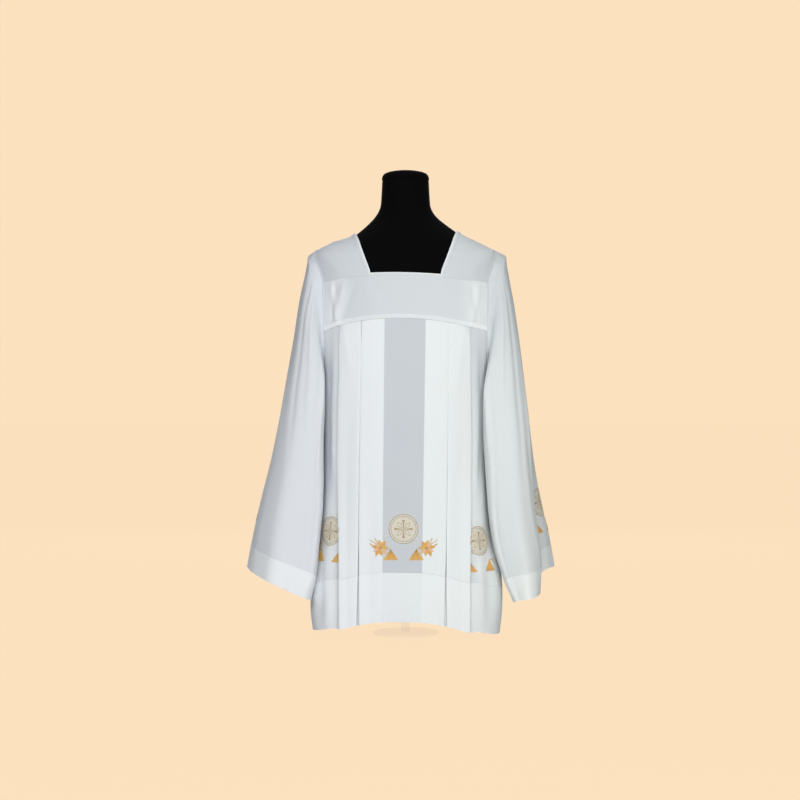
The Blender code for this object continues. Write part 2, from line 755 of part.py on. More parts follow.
def turned(name, profile, material, sides=36):
    """A solid turned about +Z from (radius, height) points, its ends on the axis."""
    mesh = bmesh.new()
    rings = []
    for radius, height in profile:
        if radius == 0:
            rings.append([mesh.verts.new((0, 0, height))])
            continue
        angles = [2 * math.pi * i / sides for i in range(sides)]
        rings.append([mesh.verts.new((radius * math.cos(a), radius * math.sin(a), height)) for a in angles])
    for low, high in zip(rings, rings[1:]):
        for i in range(sides):
            j = (i + 1) % sides
            if len(low) == 1:
                mesh.faces.new((low[0], high[j], high[i]))
            elif len(high) == 1:
                mesh.faces.new((low[i], low[j], high[0]))
            else:
                mesh.faces.new((low[i], low[j], high[j], high[i]))
    bmesh.ops.recalc_face_normals(mesh, faces=mesh.faces)
    return finished(name, mesh, material)


def neck_cap(material):
    foot = FORM_ROWS[-1][0] + SEAM
    profile = [(0, foot)] + [(radius, foot + rise) for radius, rise in CAP_ROWS]
    return turned("form_neck_cap", profile, material)


def stand(material):
    edge, top = BASE_RADIUS - BASE_EDGE, BASE_HEIGHT
    turned(
        "form_base",
        ((0, 0), (BASE_RADIUS, 0), (BASE_RADIUS, top - BASE_EDGE), (edge, top), (0, top)),
        material,
    )
    foot, head = top + SEAM, FORM_ROWS[0][0] - SEAM
    turned(
        "form_pole",
        ((0, foot), (POLE_RADIUS, foot), (POLE_RADIUS, head), (0, head)),
        material,
        sides=24,
    )


def main():
    for old in list(bpy.data.objects):
        bpy.data.objects.remove(old)
    cloth = plain_material("white_cloth", (0.86, 0.88, 0.90), 0.85)
    doubled = plain_material("white_doubled_cloth", (0.92, 0.93, 0.94), 0.85)
    black = plain_material("black_form", (0.012, 0.012, 0.014), 0.7)
    acrylic = plain_material("clear_acrylic", (0.95, 0.96, 0.97), 0.08)

    form_torso(black)
    neck_cap(black)
    stand(acrylic)
    yoke("front_yoke", FRONT, doubled)
    yoke("back_yoke", BACK, doubled)
    shoulder("left_shoulder", 1, doubled)
    shoulder("right_shoulder", -1, doubled)
    neck_binding(doubled)
    panel("front_panel", FRONT, FRONT_PLEATS, cloth)
    panel("back_panel", BACK, BACK_PLEATS, cloth)
    hem_band("front_hem_band", FRONT, FRONT_PLEATS, doubled)
    hem_band("back_hem_band", BACK, BACK_PLEATS, doubled)
    sleeve_parts("left_sleeve", 1, LEFT_SLEEVE_ROWS, LEFT_CUFF_ROWS, LEFT_SLEEVE_FOLDS, cloth, doubled)
    sleeve_parts("right_sleeve", -1, RIGHT_SLEEVE_ROWS, RIGHT_CUFF_ROWS, RIGHT_SLEEVE_FOLDS, cloth, doubled)


main()
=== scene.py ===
# A white surplice worn on a black limbless dress form
# Front is towards -Y, metres, +Z up. "left" and "right" are the wearer's own.

import math

import bpy
import numpy as np
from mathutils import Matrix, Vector
from mathutils.bvhtree import BVHTree


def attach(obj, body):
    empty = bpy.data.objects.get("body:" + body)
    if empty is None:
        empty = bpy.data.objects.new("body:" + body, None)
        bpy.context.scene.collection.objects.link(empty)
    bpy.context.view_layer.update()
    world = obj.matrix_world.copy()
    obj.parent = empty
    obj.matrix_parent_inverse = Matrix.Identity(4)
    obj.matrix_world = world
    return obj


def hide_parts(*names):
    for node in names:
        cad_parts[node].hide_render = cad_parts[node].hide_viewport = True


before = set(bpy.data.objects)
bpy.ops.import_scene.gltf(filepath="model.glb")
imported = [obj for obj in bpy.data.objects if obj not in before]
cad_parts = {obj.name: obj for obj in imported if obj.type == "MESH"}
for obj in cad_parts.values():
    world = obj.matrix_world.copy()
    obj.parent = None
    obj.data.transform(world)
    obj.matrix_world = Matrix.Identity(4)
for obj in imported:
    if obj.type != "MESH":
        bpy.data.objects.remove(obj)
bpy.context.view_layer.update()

front, back = -1, 1
left, right = 1, -1
partShift = np.array((0.0076, 0.0016, 0.0))  # everything is drawn about the form's own middle, then moved
clothThickness, doubleThickness = 0.0010, 0.0017
sharpAngle = math.radians(50)
seamGap = 0.0003


# Small sums

def mix(a, b, share):
    return a + (b - a) * share


def smoothStep(low, high, value):
    t = np.clip((np.asarray(value, float) - low) / (high - low), 0.0, 1.0)
    return t * t * (3 - 2 * t)


def unit(vectors):
    return vectors / np.maximum(1e-9, np.linalg.norm(vectors, axis=-1, keepdims=True))


def points(x, y, z):
    return np.stack(np.broadcast_arrays(x, y, z), -1).astype(float)


class RowCurves:
    # rows of sizes behind their keys, read at any key: one smooth curve a column, which never overshoots
    def __init__(self, rows):
        table = np.array(rows, float).T
        self.keys, self.columns = table[0], table[1:]
        self.slopes = [self.slopesOf(column) for column in self.columns]

    def slopesOf(self, values):
        steps = np.diff(values) / np.diff(self.keys)
        slopes = [steps[0]]
        for before, after in zip(steps, steps[1:]):
            slopes.append(0.0 if before * after <= 0 else 2 * before * after / (before + after))
        return np.array(slopes + [steps[-1]])

    def at(self, key):
        key = np.clip(np.asarray(key, float), self.keys[0], self.keys[-1])
        i = np.clip(np.searchsorted(self.keys, key, side="right") - 1, 0, len(self.keys) - 2)
        width = self.keys[i + 1] - self.keys[i]
        t = (key - self.keys[i]) / width
        rise, fall, start = t * t * (3 - 2 * t), t * t * (t - 1), t * (1 - t) ** 2
        return [
            mix(column[i], column[i + 1], rise) + width * (start * slope[i] + fall * slope[i + 1])
            for column, slope in zip(self.columns, self.slopes)
        ]


def creased(x, z, creases):
    # soft ridges (depth > 0) and troughs (depth < 0), each along a line from one point to another
    total = np.zeros(np.broadcast(x, z).shape)
    for x1, z1, x2, z2, width, depth in creases:
        dx, dz = x2 - x1, z2 - z1
        length = math.hypot(dx, dz)
        along = ((x - x1) * dx + (z - z1) * dz) / length**2
        away = ((x - x1) * dz - (z - z1) * dx) / length
        ends = smoothStep(-0.15, 0.25, along) * (1 - smoothStep(0.75, 1.15, along))
        total += depth * np.exp(-((away / width) ** 2)) * ends
    return total


def rippled(a, b, amount, phase):
    # a slow, uneven wander of the cloth, so that no stretch of it is machine flat
    waves = ((31, 9, 0.0), (17, 23, 1.7), (53, 14, 3.1), (11, 47, 4.4))
    return amount * sum(np.sin(a * p + b * q + r + phase) for p, q, r in waves) / 2.6


# Materials

class Finish:
    # a material and the nodes it is made of
    def __init__(self, name):
        self.material = bpy.data.materials.new(name)
        self.material.use_nodes = True
        self.nodes, self.links = self.material.node_tree.nodes, self.material.node_tree.links
        self.shader = self.nodes["Principled BSDF"]

    def feed(self, socket, value):
        # a socket takes a number, a colour or what another node gives
        if isinstance(value, (int, float)):
            socket.default_value = value
        elif isinstance(value, tuple):
            socket.default_value = (*value, 1)
        else:
            self.links.new(value, socket)

    def node(self, kind, sockets):
        made = self.nodes.new("ShaderNode" + kind)
        for socket, value in sockets.items():
            self.feed(made.inputs[socket], value)
        return made

    def lay(self):
        # x runs across the cloth, y down it, both in metres, and z says how much white lies behind, with
        # painted shade and painted light added to it in places
        lay = self.node("Attribute", {})
        lay.attribute_name = "lay"
        return lay.outputs["Vector"]

    def place(self):
        return self.node("TexCoord", {}).outputs["Object"]

    def axis(self, vector, name):
        return self.node("SeparateXYZ", {0: vector}).outputs[name]

    def wave(self, vector, direction, pitch, wander):
        scale = 0.3142 / pitch  # a wave node of scale 1 repeats every 0.3142
        wave = self.node("TexWave", {"Vector": vector, "Scale": scale, "Distortion": wander, "Detail": 1.0})
        wave.bands_direction = direction
        return wave.outputs["Fac"]

    def noise(self, scale, detail=2.0):
        sockets = {"Vector": self.place(), "Scale": scale, "Detail": detail}
        return self.node("TexNoise", sockets).outputs["Fac"]

    def sum(self, operation, *values):
        node = self.node("Math", dict(enumerate(values)))
        node.operation = operation
        return node.outputs[0]

    def mix(self, share, first, second, blend="MIX", clamped=True):
        node = self.node("Mix", {})
        node.data_type, node.blend_type, node.clamp_factor = "RGBA", blend, clamped
        for socket, value in ((0, share), (6, first), (7, second)):
            self.feed(node.inputs[socket], value)
        return node.outputs[2]

    def bump(self, height, strength, depth):
        bump = self.node("Bump", {"Height": height, "Strength": strength, "Distance": depth})
        self.feed(self.shader.inputs["Normal"], bump.outputs["Normal"])

    def surface(self, looks):
        for socket, value in looks.items():
            self.feed(self.shader.inputs[socket], value)
        return self.material


clothLook = {
    "thin": (0.577, 0.604, 0.645),  # a single layer with the black form behind it
    "full": (0.880, 0.902, 0.914),  # three layers and more
    "cool": (0.985, 0.982, 1.000),  # on the wearer's right
    "warm": (0.988, 1.000, 0.958),  # on the wearer's left
    "warming": 1.9,  # from cool to warm, for each metre across
    "patches": (6.0, 0.8),  # patches in a metre, and how far they warm the cloth
    "slubs": (900.0, 0.05, (0.74, 0.76, 0.80)),  # thick spots of yarn in a metre, their share and colour
    "weave": (("X", 0.0009), ("Y", 0.001035)),  # pitch of the threads, both ways
    "weaveWander": 0.4,
    "weaveDepth": 0.00016,
    "crumple": (45.0, 2.5),  # crumples in a metre, and their height beside the weave's
    "roughness": (0.78, 0.08),  # in the gaps of the weave, and how much more on its threads
    "sheen": 0.18,
    "sheenRoughness": 0.5,
    "shine": 0.25,
}


def clothMaterial(name, weaveStrength):
    look, finish = clothLook, Finish(name)
    lay = finish.lay()
    # from thin to full by z, and past full above 1; z carries the layers behind and, in places, painted
    # shade and painted light
    colour = finish.mix(finish.axis(lay, "Z"), look["thin"], look["full"], clamped=False)
    patches, warming = look["patches"]
    drift = finish.sum("MULTIPLY", finish.axis(finish.place(), "X"), look["warming"])
    drift = finish.sum("MULTIPLY_ADD", finish.noise(patches, 1.0), warming, drift)
    colour = finish.mix(1.0, colour, finish.mix(drift, look["cool"], look["warm"]), "MULTIPLY")
    slubs, slubShare, slubColour = look["slubs"]
    colour = finish.mix(finish.sum("MULTIPLY", finish.noise(slubs), slubShare), colour, slubColour)
    warp, weft = [finish.wave(lay, way, pitch, look["weaveWander"]) for way, pitch in look["weave"]]
    weave = finish.sum("MULTIPLY", warp, weft)
    crumples, crumpleHeight = look["crumple"]
    crumple = finish.sum("MULTIPLY", finish.noise(crumples, 3.0), crumpleHeight)
    finish.bump(finish.sum("ADD", weave, crumple), weaveStrength, look["weaveDepth"])
    low, more = look["roughness"]
    return finish.surface({
        "Base Color": colour,
        "Roughness": finish.sum("MULTIPLY_ADD", weave, more, low),
        "Sheen Weight": look["sheen"],
        "Sheen Roughness": look["sheenRoughness"],
        "Specular IOR Level": look["shine"],
    })


threadLook = {
    "wander": 0.6,
    "patches": 260.0,
    "stitchCrestHighlight": 0.55,
    "lightInPatches": 0.5,
    "bump": (0.6, 0.0003),
    "roughSwing": 0.15,
}


def threadMaterial(name, dark, light, pitch, roughness, sheen):
    # satin stitches run across each stroke, one thread after another along it
    look, finish = threadLook, Finish(name)
    stitch = finish.wave(finish.lay(), "Y", pitch, look["wander"])
    patch = finish.noise(look["patches"])
    # each stitch is painted lighter on its raised crest and darker in the groove beside it, a painted
    # highlight and shade; the patches vary at random
    amount = finish.sum("MULTIPLY", patch, look["lightInPatches"])
    amount = finish.sum("MULTIPLY_ADD", stitch, look["stitchCrestHighlight"], amount)
    finish.bump(stitch, *look["bump"])
    return finish.surface({
        "Base Color": finish.mix(amount, dark, light),
        "Roughness": finish.sum("MULTIPLY_ADD", patch, look["roughSwing"], roughness),
        "Sheen Weight": sheen,
    })


def jerseyMaterial():
    finish = Finish("blackJersey")
    rib = finish.wave(finish.place(), "Z", 0.0011, 1.2)
    fuzz = finish.noise(700.0, 3.0)
    finish.bump(finish.sum("ADD", rib, fuzz), 0.35, 0.0003)
    return finish.surface({
        "Base Color": finish.mix(fuzz, (0.0008, 0.0008, 0.0010), (0.0030, 0.0030, 0.0034)),
        "Roughness": finish.sum("MULTIPLY_ADD", fuzz, 0.12, 0.78),
        "Sheen Weight": 0.002,
        "Specular IOR Level": 0.05,
    })


def acrylicMaterial():
    finish = Finish("clearAcrylic")
    haze = finish.noise(60.0, 3.0)
    return finish.surface({
        "Base Color": finish.mix(haze, (0.96, 0.97, 0.98), (0.99, 0.99, 1.0)),
        "Roughness": finish.sum("MULTIPLY_ADD", haze, 0.06, 0.02),
        "Alpha": 0.06,
        "IOR": 1.49,
    })


sheerCloth = clothMaterial("sheerWhiteCloth", 0.5)
foldedCloth = clothMaterial("foldedWhiteCloth", 0.6)
threadLooks = (  # name, dark and light colour (painted shade in the stitches' grooves and painted highlight on their crests, with random patches), pitch of the stitches, roughness, sheen
    ("whiteSewingThread", (0.72, 0.74, 0.76), (0.92, 0.93, 0.94), 0.0006, 0.55, 0.1),
    ("goldSatinThread", (0.64, 0.34, 0.05), (0.95, 0.66, 0.22), 0.0008, 0.38, 0.3),
    ("orangeSatinThread", (0.68, 0.27, 0.04), (0.96, 0.54, 0.17), 0.0008, 0.38, 0.3),
    ("creamSatinThread", (0.70, 0.62, 0.47), (0.94, 0.89, 0.78), 0.0008, 0.42, 0.3),
    ("bronzeOutlineThread", (0.36, 0.26, 0.13), (0.64, 0.50, 0.30), 0.0007, 0.45, 0.2),
    ("palePeachThread", (0.80, 0.42, 0.24), (0.96, 0.68, 0.48), 0.0008, 0.40, 0.3),
)
sewingThread, *needleThreads = [threadMaterial(*look) for look in threadLooks]
gold, orange, cream, bronze, pale = range(len(needleThreads))
blackJersey = jerseyMaterial()
clearAcrylic = acrylicMaterial()
print("materials made")


# The garment's form: sections of the dress form and of the cloth that hangs free of it

formSizes = {
    "rows": (  # height, half width, front, back, power
        (0.100, 0.142, 0.086, 0.088, 2.3),
        (0.150, 0.158, 0.100, 0.104, 2.3),
        (0.240, 0.163, 0.105, 0.110, 2.3),
        (0.320, 0.160, 0.104, 0.109, 2.3),
        (0.400, 0.150, 0.099, 0.098, 2.3),
        (0.540, 0.152, 0.104, 0.091, 2.3),
        (0.700, 0.173, 0.113, 0.106, 2.3),
        (0.760, 0.185, 0.109, 0.108, 2.3),
        (0.800, 0.197, 0.104, 0.106, 2.3),
        (0.840, 0.207, 0.097, 0.101, 2.3),
        (0.860, 0.2095, 0.092, 0.097, 2.2),
        (0.872, 0.2045, 0.089, 0.094, 2.2),
        (0.880, 0.1950, 0.087, 0.092, 2.1),
        (0.889, 0.1790, 0.085, 0.089, 2.1),
        (0.898, 0.1605, 0.082, 0.086, 2.1),
        (0.908, 0.1380, 0.079, 0.082, 2.1),
        (0.918, 0.1185, 0.076, 0.079, 2.1),
        (0.929, 0.1060, 0.072, 0.075, 2.0),
        (0.942, 0.0920, 0.068, 0.070, 2.0),
        (0.955, 0.0770, 0.063, 0.065, 2.0),
        (0.968, 0.0670, 0.059, 0.062, 2.0),
        (0.985, 0.0610, 0.057, 0.060, 2.0),
        (1.042, 0.0575, 0.057, 0.060, 2.0),
    ),
    "capRows": (  # radius, rise above the neck's top
        (0.0528, 0.0000),
        (0.0540, 0.0006),
        (0.0544, 0.0030),
        (0.0538, 0.0066),
        (0.0521, 0.0110),
        (0.0490, 0.0144),
        (0.0420, 0.0174),
        (0.0320, 0.0196),
        (0.0215, 0.0205),
        (0.0110, 0.0208),
        (0.0000, 0.0208),
    ),
    "neckSlim": 0.0040,  # the cover is pulled tighter round the neck than the form's rows
    "slimFrom": (0.924, 0.944),
    "sides": 120,
    "levelStep": 0.006,
    "seamTurns": (38, 142, 218, 322),  # degrees round the form where its cover is sewn
    "seamGroove": 0.009,  # share of the form's width
    "grooveSpread": 1.6,  # degrees
    "layRadius": 0.12,
}
drapeRows = (  # height, half width, front, back, power
    (0.000, 0.2150, 0.1360, 0.1330, 2.6),
    (0.060, 0.2175, 0.1350, 0.1310, 2.6),
    (0.130, 0.2140, 0.1330, 0.1280, 2.6),
    (0.220, 0.1980, 0.1295, 0.1240, 2.6),
    (0.300, 0.1855, 0.1275, 0.1210, 2.6),
    (0.400, 0.1805, 0.1260, 0.1190, 2.6),
    (0.500, 0.1835, 0.1255, 0.1180, 2.6),
    (0.600, 0.1905, 0.1240, 0.1180, 2.6),
    (0.660, 0.1980, 0.1215, 0.1180, 2.6),
    (0.720, 0.2040, 0.1175, 0.1160, 2.5),
    (0.770, 0.2060, 0.1125, 0.1130, 2.4),
    (0.835, 0.2090, 0.1000, 0.1050, 2.3),
)
sideFlare = (  # height, how far the side moves out on the wearer's right and left
    (0.000, -0.0050, 0.0000),
    (0.060, 0.0000, 0.0030),
    (0.130, 0.0005, 0.0060),
    (0.220, 0.0030, 0.0050),
    (0.300, 0.0065, 0.0045),
    (0.400, 0.0078, 0.0040),
    (0.480, 0.0068, 0.0040),
    (0.550, 0.0045, 0.0030),
    (0.600, 0.0000, 0.0000),
)
bodySizes = {
    "lift": 0.0030,  # middle of the cloth above the form where it rests on the shoulders
    "liftFrom": 0.770,
    "liftFull": 0.835,
    "neck": {front: (0.8150, 0.0115), back: (0.8640, 0.0180)},  # height in the middle, drop at the armhole
    "yokeFoot": {front: (0.7190, 0.0270), back: (0.7640, 0.0270)},
    "neckHalf": {front: 0.0790, "ridge": 0.1120, back: 0.0880},
    "neckHalfPower": 1.2,
    "binding": 0.0070,
    "lean": -0.020,  # slope of the front lines, which hang lower on the wearer's left
    "leanFades": (0.130, 0.185),
    "ridge": (0.862, 1.0),  # the heights between which the top of the shoulders lies
    "armholeTop": 0.8790,
    "armholeFoot": 0.6000,
    "armholeAngle": math.radians(27),
    "armholeFullness": 0.75,
    "armholeSeam": 0.0026,
    "hemBand": 0.1100,
    "hemSide": 0.0100,
    "hemLean": 0.0035,
    "hemRise": {front: 0.0335, back: 0.0180},
    "hemRisePower": 3.5,
    "ripple": 0.0007,
}

formCurves = RowCurves(formSizes["rows"])
drapeCurves, flareCurves = RowCurves(drapeRows), RowCurves(sideFlare)


def clothSection(height):
    # half width, both depths and the power of the oval that the cloth's middle follows
    height = np.asarray(height, float)
    resting = formCurves.at(height - bodySizes["lift"])
    free = drapeCurves.at(height)
    share = smoothStep(bodySizes["liftFrom"], bodySizes["liftFull"], height)
    lifts = (bodySizes["lift"],) * 3 + (0.0,)  # the power stays
    return [mix(a, b + lifted, share) for a, b, lifted in zip(free, resting, lifts)]


def across(height, x, face):
    # how deep the cloth lies at a height and a distance x from the middle, and the way out of it
    half, frontDepth, backDepth, power = clothSection(height)
    depth = frontDepth if face == front else backDepth
    ratio = np.minimum(1.0, np.abs(x) / half)
    share = np.maximum(0.0, 1 - ratio**power) ** (1 / power)
    sideways = np.copysign(ratio ** (power - 1) / half, x)
    return face * depth * share, unit(points(sideways, face * share ** (power - 1) / depth, 0 * ratio))


def clothNormal(place):
    # the way out of the cloth's oval, from how fast it grows in each direction
    def level(p):
        half, frontDepth, backDepth, power = clothSection(p[..., 2])
        depth = np.where(p[..., 1] < 0, frontDepth, backDepth)
        return (np.abs(p[..., 0]) / half) ** power + (np.abs(p[..., 1]) / depth) ** power

    step = 0.0004
    slopes = []
    for axis in range(3):
        nudge = np.zeros(3)
        nudge[axis] = step
        slopes.append(level(place + nudge) - level(place - nudge))
    return unit(np.stack(slopes, -1))


def around(height, angle, face):
    # the cloth's point at an angle from the middle, 90 degrees at the side seam
    half, frontDepth, backDepth, power = clothSection(height)
    depth = np.where(face == front, frontDepth, backDepth)
    sine, cosine = np.sin(angle), np.maximum(0.0, np.cos(angle))
    x = np.copysign(half * np.abs(sine) ** (2 / power), sine)
    return points(x, face * depth * cosine ** (2 / power), height)


def angleOf(height, x):
    # the same angle, from a distance x from the middle
    half, _, _, power = clothSection(height)
    return np.arcsin(np.minimum(1.0, np.abs(x) / half) ** (power / 2))


def ridgeHeight(x):
    # how high the cloth goes over the shoulder, by halving, at a distance x from the middle
    low, high = (np.full(np.shape(x), height) for height in bodySizes["ridge"])
    for _ in range(36):
        middle = (low + high) / 2
        wide = clothSection(middle)[0] > np.abs(x)
        low, high = np.where(wide, middle, low), np.where(wide, high, middle)
    return low


armholeMiddle = (bodySizes["armholeTop"] + bodySizes["armholeFoot"]) / 2
armholeHalf = (bodySizes["armholeTop"] - bodySizes["armholeFoot"]) / 2


def armholeAngle(turn):
    # how far round the body the armhole lies, at a turn from its top
    return math.pi / 2 - bodySizes["armholeAngle"] * np.abs(np.sin(turn)) ** bodySizes["armholeFullness"]


def armholePoint(turn, side):
    turn = np.asarray(turn, float)
    face = np.where(np.sin(turn) >= 0, front, back)
    place = around(armholeMiddle + armholeHalf * np.cos(turn), armholeAngle(turn), face)
    place[..., 0] *= side
    return place


def armholeTurn(height):
    return np.arccos(np.clip((height - armholeMiddle) / armholeHalf, -1.0, 1.0))


def edgeX(height, face):
    # the armhole's distance from the middle
    return around(height, armholeAngle(armholeTurn(height)), face)[..., 0]


def bodyLine(name, u, face):
    # a seam's height, at a share u of the way from the middle to the armhole
    height, drop = bodySizes[name][face]
    return height - drop * u * u


def leaned(height, x, face):
    # the front seams hang a little lower on one side
    if face == back:
        return height + 0 * x
    return height + bodySizes["lean"] * x * (1 - smoothStep(*bodySizes["leanFades"], np.abs(x)))


def hemHeight(angle, face):
    rise = bodySizes["hemRise"][face] * np.maximum(0.0, np.cos(angle)) ** bodySizes["hemRisePower"]
    swing = np.where(np.asarray(angle) > 0, 0.0, 1.0) * np.sin(2 * angle)
    return bodySizes["hemSide"] + rise - bodySizes["hemLean"] * (np.sin(angle) + swing)


# Cloth as a wall round a grid of points, with its lay kept for the weave

def offsetWays(rows, closed):
    # the way out at each point, longer at a fold so that the wall keeps its thickness
    above = np.concatenate([rows[:1], rows[:-1]])
    below = np.concatenate([rows[1:], rows[-1:]])
    down = unit(below - above)
    before, after = np.roll(rows, 1, 1), np.roll(rows, -1, 1)
    firstWay, secondWay = unit(np.cross(rows - before, down)), unit(np.cross(after - rows, down))
    if not closed:
        firstWay[:, 0], secondWay[:, -1] = secondWay[:, 0], firstWay[:, -1]
    total = firstWay + secondWay
    return total / np.maximum(0.5, (total**2).sum(-1, keepdims=True) / 2)


def objectFrom(name, vertices, faces, lay, materials, faceMaterials=None):
    mesh = bpy.data.meshes.new(name)
    mesh.from_pydata((vertices + partShift).tolist(), [], faces)
    attribute = mesh.attributes.new("lay", "FLOAT_VECTOR", "POINT")
    attribute.data.foreach_set("vector", np.ascontiguousarray(lay, np.float32).ravel())
    for material in materials:
        mesh.materials.append(material)
    if faceMaterials is not None:
        mesh.polygons.foreach_set("material_index", faceMaterials)
    mesh.shade_smooth()
    mesh.set_sharp_from_angle(angle=sharpAngle)
    made = bpy.data.objects.new(name, mesh)
    bpy.context.scene.collection.objects.link(made)
    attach(made, "root")
    return made


def wallFaces(levels, count, closed):
    # the two skins of a grid, and the rims that join them
    half = levels * count
    grid = np.arange(half).reshape(levels, count)
    this, following = (grid, np.roll(grid, -1, 1)) if closed else (grid[:, :-1], grid[:, 1:])
    a, b, c, d = this[:-1], this[1:], following[1:], following[:-1]
    quads = [np.stack([a, b, c, d], -1).reshape(-1, 4), half + np.stack([a, d, c, b], -1).reshape(-1, 4)]
    top, topNext, foot, footNext = this[0], following[0], this[-1], following[-1]
    quads.append(np.stack([top, topNext, half + topNext, half + top], -1))
    quads.append(np.stack([foot, half + foot, half + footNext, footNext], -1))
    if not closed:
        for edge, turned in ((grid[:, 0], False), (grid[:, -1], True)):
            side = np.stack([edge[:-1], half + edge[:-1], half + edge[1:], edge[1:]], -1)
            quads.append(side[:, ::-1] if turned else side)
    return np.concatenate(quads).tolist()


def clothWall(name, rows, thickness, tone, material, closed):
    levels, count = rows.shape[:2]
    ways = offsetWays(rows, closed) * thickness
    spread = np.linalg.norm(np.diff(rows, axis=1), axis=-1)
    alongRow = np.concatenate([np.zeros((levels, 1)), np.cumsum(spread, 1)], 1)
    alongRow = alongRow - alongRow.mean(1, keepdims=True)
    drop = np.linalg.norm(np.diff(rows, axis=0), axis=-1)
    downRow = np.concatenate([np.zeros((1, count)), np.cumsum(drop, 0)], 0)
    lay = np.stack([alongRow, downRow, np.broadcast_to(tone, alongRow.shape)], -1)
    vertices = np.concatenate([(rows + ways * sign).reshape(-1, 3) for sign in (0.5, -0.5)])
    faces = wallFaces(levels, count, closed)
    made = objectFrom(name, vertices, faces, np.concatenate([lay.reshape(-1, 3)] * 2), [material])
    area, width, length = flatArea(rows, closed), np.ptp(alongRow[levels // 2]), downRow[-1].mean()
    print(f"{name} made, {len(faces)} faces, flat {width:.3f} x {length:.3f} m, area {area:.3f} m2")
    return made


def flatArea(rows, closed):
    if closed:
        rows = np.concatenate([rows, rows[:, :1]], 1)
    first = np.cross(rows[1:, :-1] - rows[:-1, :-1], rows[:-1, 1:] - rows[:-1, :-1])
    second = np.cross(rows[1:, :-1] - rows[1:, 1:], rows[:-1, 1:] - rows[1:, 1:])
    return (np.linalg.norm(first, axis=-1).sum() + np.linalg.norm(second, axis=-1).sum()) / 2


def facedOut(rows, face):
    # the front's rows are turned round, so that its outer side faces out too
    return rows if face == back else rows[:, ::-1]


clothKinds = {
    "single": (clothThickness, sheerCloth, "white_cloth"),
    "doubled": (doubleThickness, foldedCloth, "white_doubled_cloth"),
}
clothPieces = {}


def makeCloth(name, node, kind, rows, tone, closed=False):
    # a piece of cloth that stands for one of the solids
    thickness, material, slot = clothKinds[kind]
    made = clothWall(name, rows, thickness, tone, material, closed)
    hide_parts(node)
    clothPieces[name] = made


# The pleated front and back, and the deep hem bands below them

pleatSizes = {
    front: (  # first edge at the yoke and hem, last edge at the yoke and hem, lap
        (-0.1475, -0.1435, -0.0995, -0.1075, 0.0165),
        (-0.0965, -0.1020, 0.0950, 0.0840, 0.0500),
        (0.0980, 0.0890, 0.1445, 0.1390, 0.0165),
    ),
    back: (
        (-0.1450, -0.1420, -0.0980, -0.0960, 0.0165),
        (-0.0950, -0.0910, 0.0950, 0.0930, 0.0500),
        (0.0980, 0.0980, 0.1450, 0.1430, 0.0165),
    ),
    "layerAtYoke": 0.0012,
    "layerAtHem": 0.0034,
    "tuck": 0.0020,  # how far the pleats go in under the yoke
    "foldRound": 0.0011,
    "step": 0.0042,
    "levels": 116,
    "bandLevels": 24,
    "angleHeight": 0.5,  # angles round the pleats are read at this height
    "clear": 0.0004,  # between neighbouring columns of points where a lap ends
    "margin": 0.0060,
    "settle": 0.0014,  # how far the single layer between the laps sinks
    "settleReach": 0.012,
    "edgeReach": 0.018,  # how much of the pleat moves with its edge
    "closing": 0.0014,  # how far neighbouring edges move together between the yoke and the hem
    "opened": {right: 0.75, left: 0.1},  # how much of that is missing below the yoke
    "parting": 0.0016,  # how far they part at the hem
    "loosening": (0.55, 0.45),  # how the layers come apart: soon below the yoke, and then evenly
    "liftGrowth": 1.3,
    "cornerWide": 0.010,  # the painted shade at the top corners of the outermost edges
    "cornerDeep": 0.045,
    "spans": {  # start and end, as shares of the way down from the front yoke
        "opened": (0.0, 0.14),
        "closing": (0.66, 0.92),
        "parting": (0.80, 1.0),
        "loosening": (0.0, 0.35),
        "tucked": (0.0, 0.10),
    },
    "lifts": {  # how far the first and last edge of each pleat stand off the cloth at the hem
        front: ((0.0060, -0.0004), (0.0052, 0.0046), (-0.0004, 0.0064)),
        back: ((0.0056, -0.0004), (0.0050, 0.0050), (-0.0004, 0.0056)),
    },
}
toneOf = {  # how much white lies behind the cloth, 0 for the black form and 1 for three layers; the marked entries are painted shade and painted light
    "single": 0.18,
    "lapped": 1.0,
    "recess": 0.30,
    # painted light: the sides are lighter than a single layer where they turn from the lamps, and lighter
    # still towards the foot, where less light reaches
    "side": 0.62,
    "sideFoot": 1.05,
    # painted shade in the recess beside the outermost pleats
    "besidePleatsShade": -0.12,
    # painted shade on the side, under the sleeve
    "underArm": -0.6,
    "corner": -0.40,  # painted shade at the top of the outermost edges
    # a band's doubled cloth, painted lighter than three layers to make up for the dimmer light low down
    "band": 1.15,
    "bandShare": 0.84,  # how much of what lies behind a band is the band itself
    "bandEndLight": 0.25,
    "bandEndLightFrom": (-0.150, -0.185),  # the x where the band is painted lighter, on the wearer's right, against the shade where it turns away
}
sideSizes = {  # the plain cloth from the outermost pleats to the side seams
    "angleHeight": 0.66,
    "upperColumns": 7,
    "lowerColumns": 24,
    "crowding": 0.85,
    "seamClear": 0.00015,  # radians short of the side seam
    "seamFades": 0.06,
    "armholeFades": 0.03,
    "footFrom": (0.05, 0.75),  # shares of the length, and radians round the body, where its tones change
    "besidePleatsShade": 0.20,
    "underArmShadeTurn": (0.98, 1.24),
    "underArmShadeShare": (1.0, 0.72),
    "flarePower": 6,
    "flareFrom": (0.602, 0.560),
}


def run(start, end, step):
    # evenly from start to end, in steps no longer than the given one
    return np.linspace(start, end, max(2, int(math.ceil(abs(end - start) / step)) + 1))


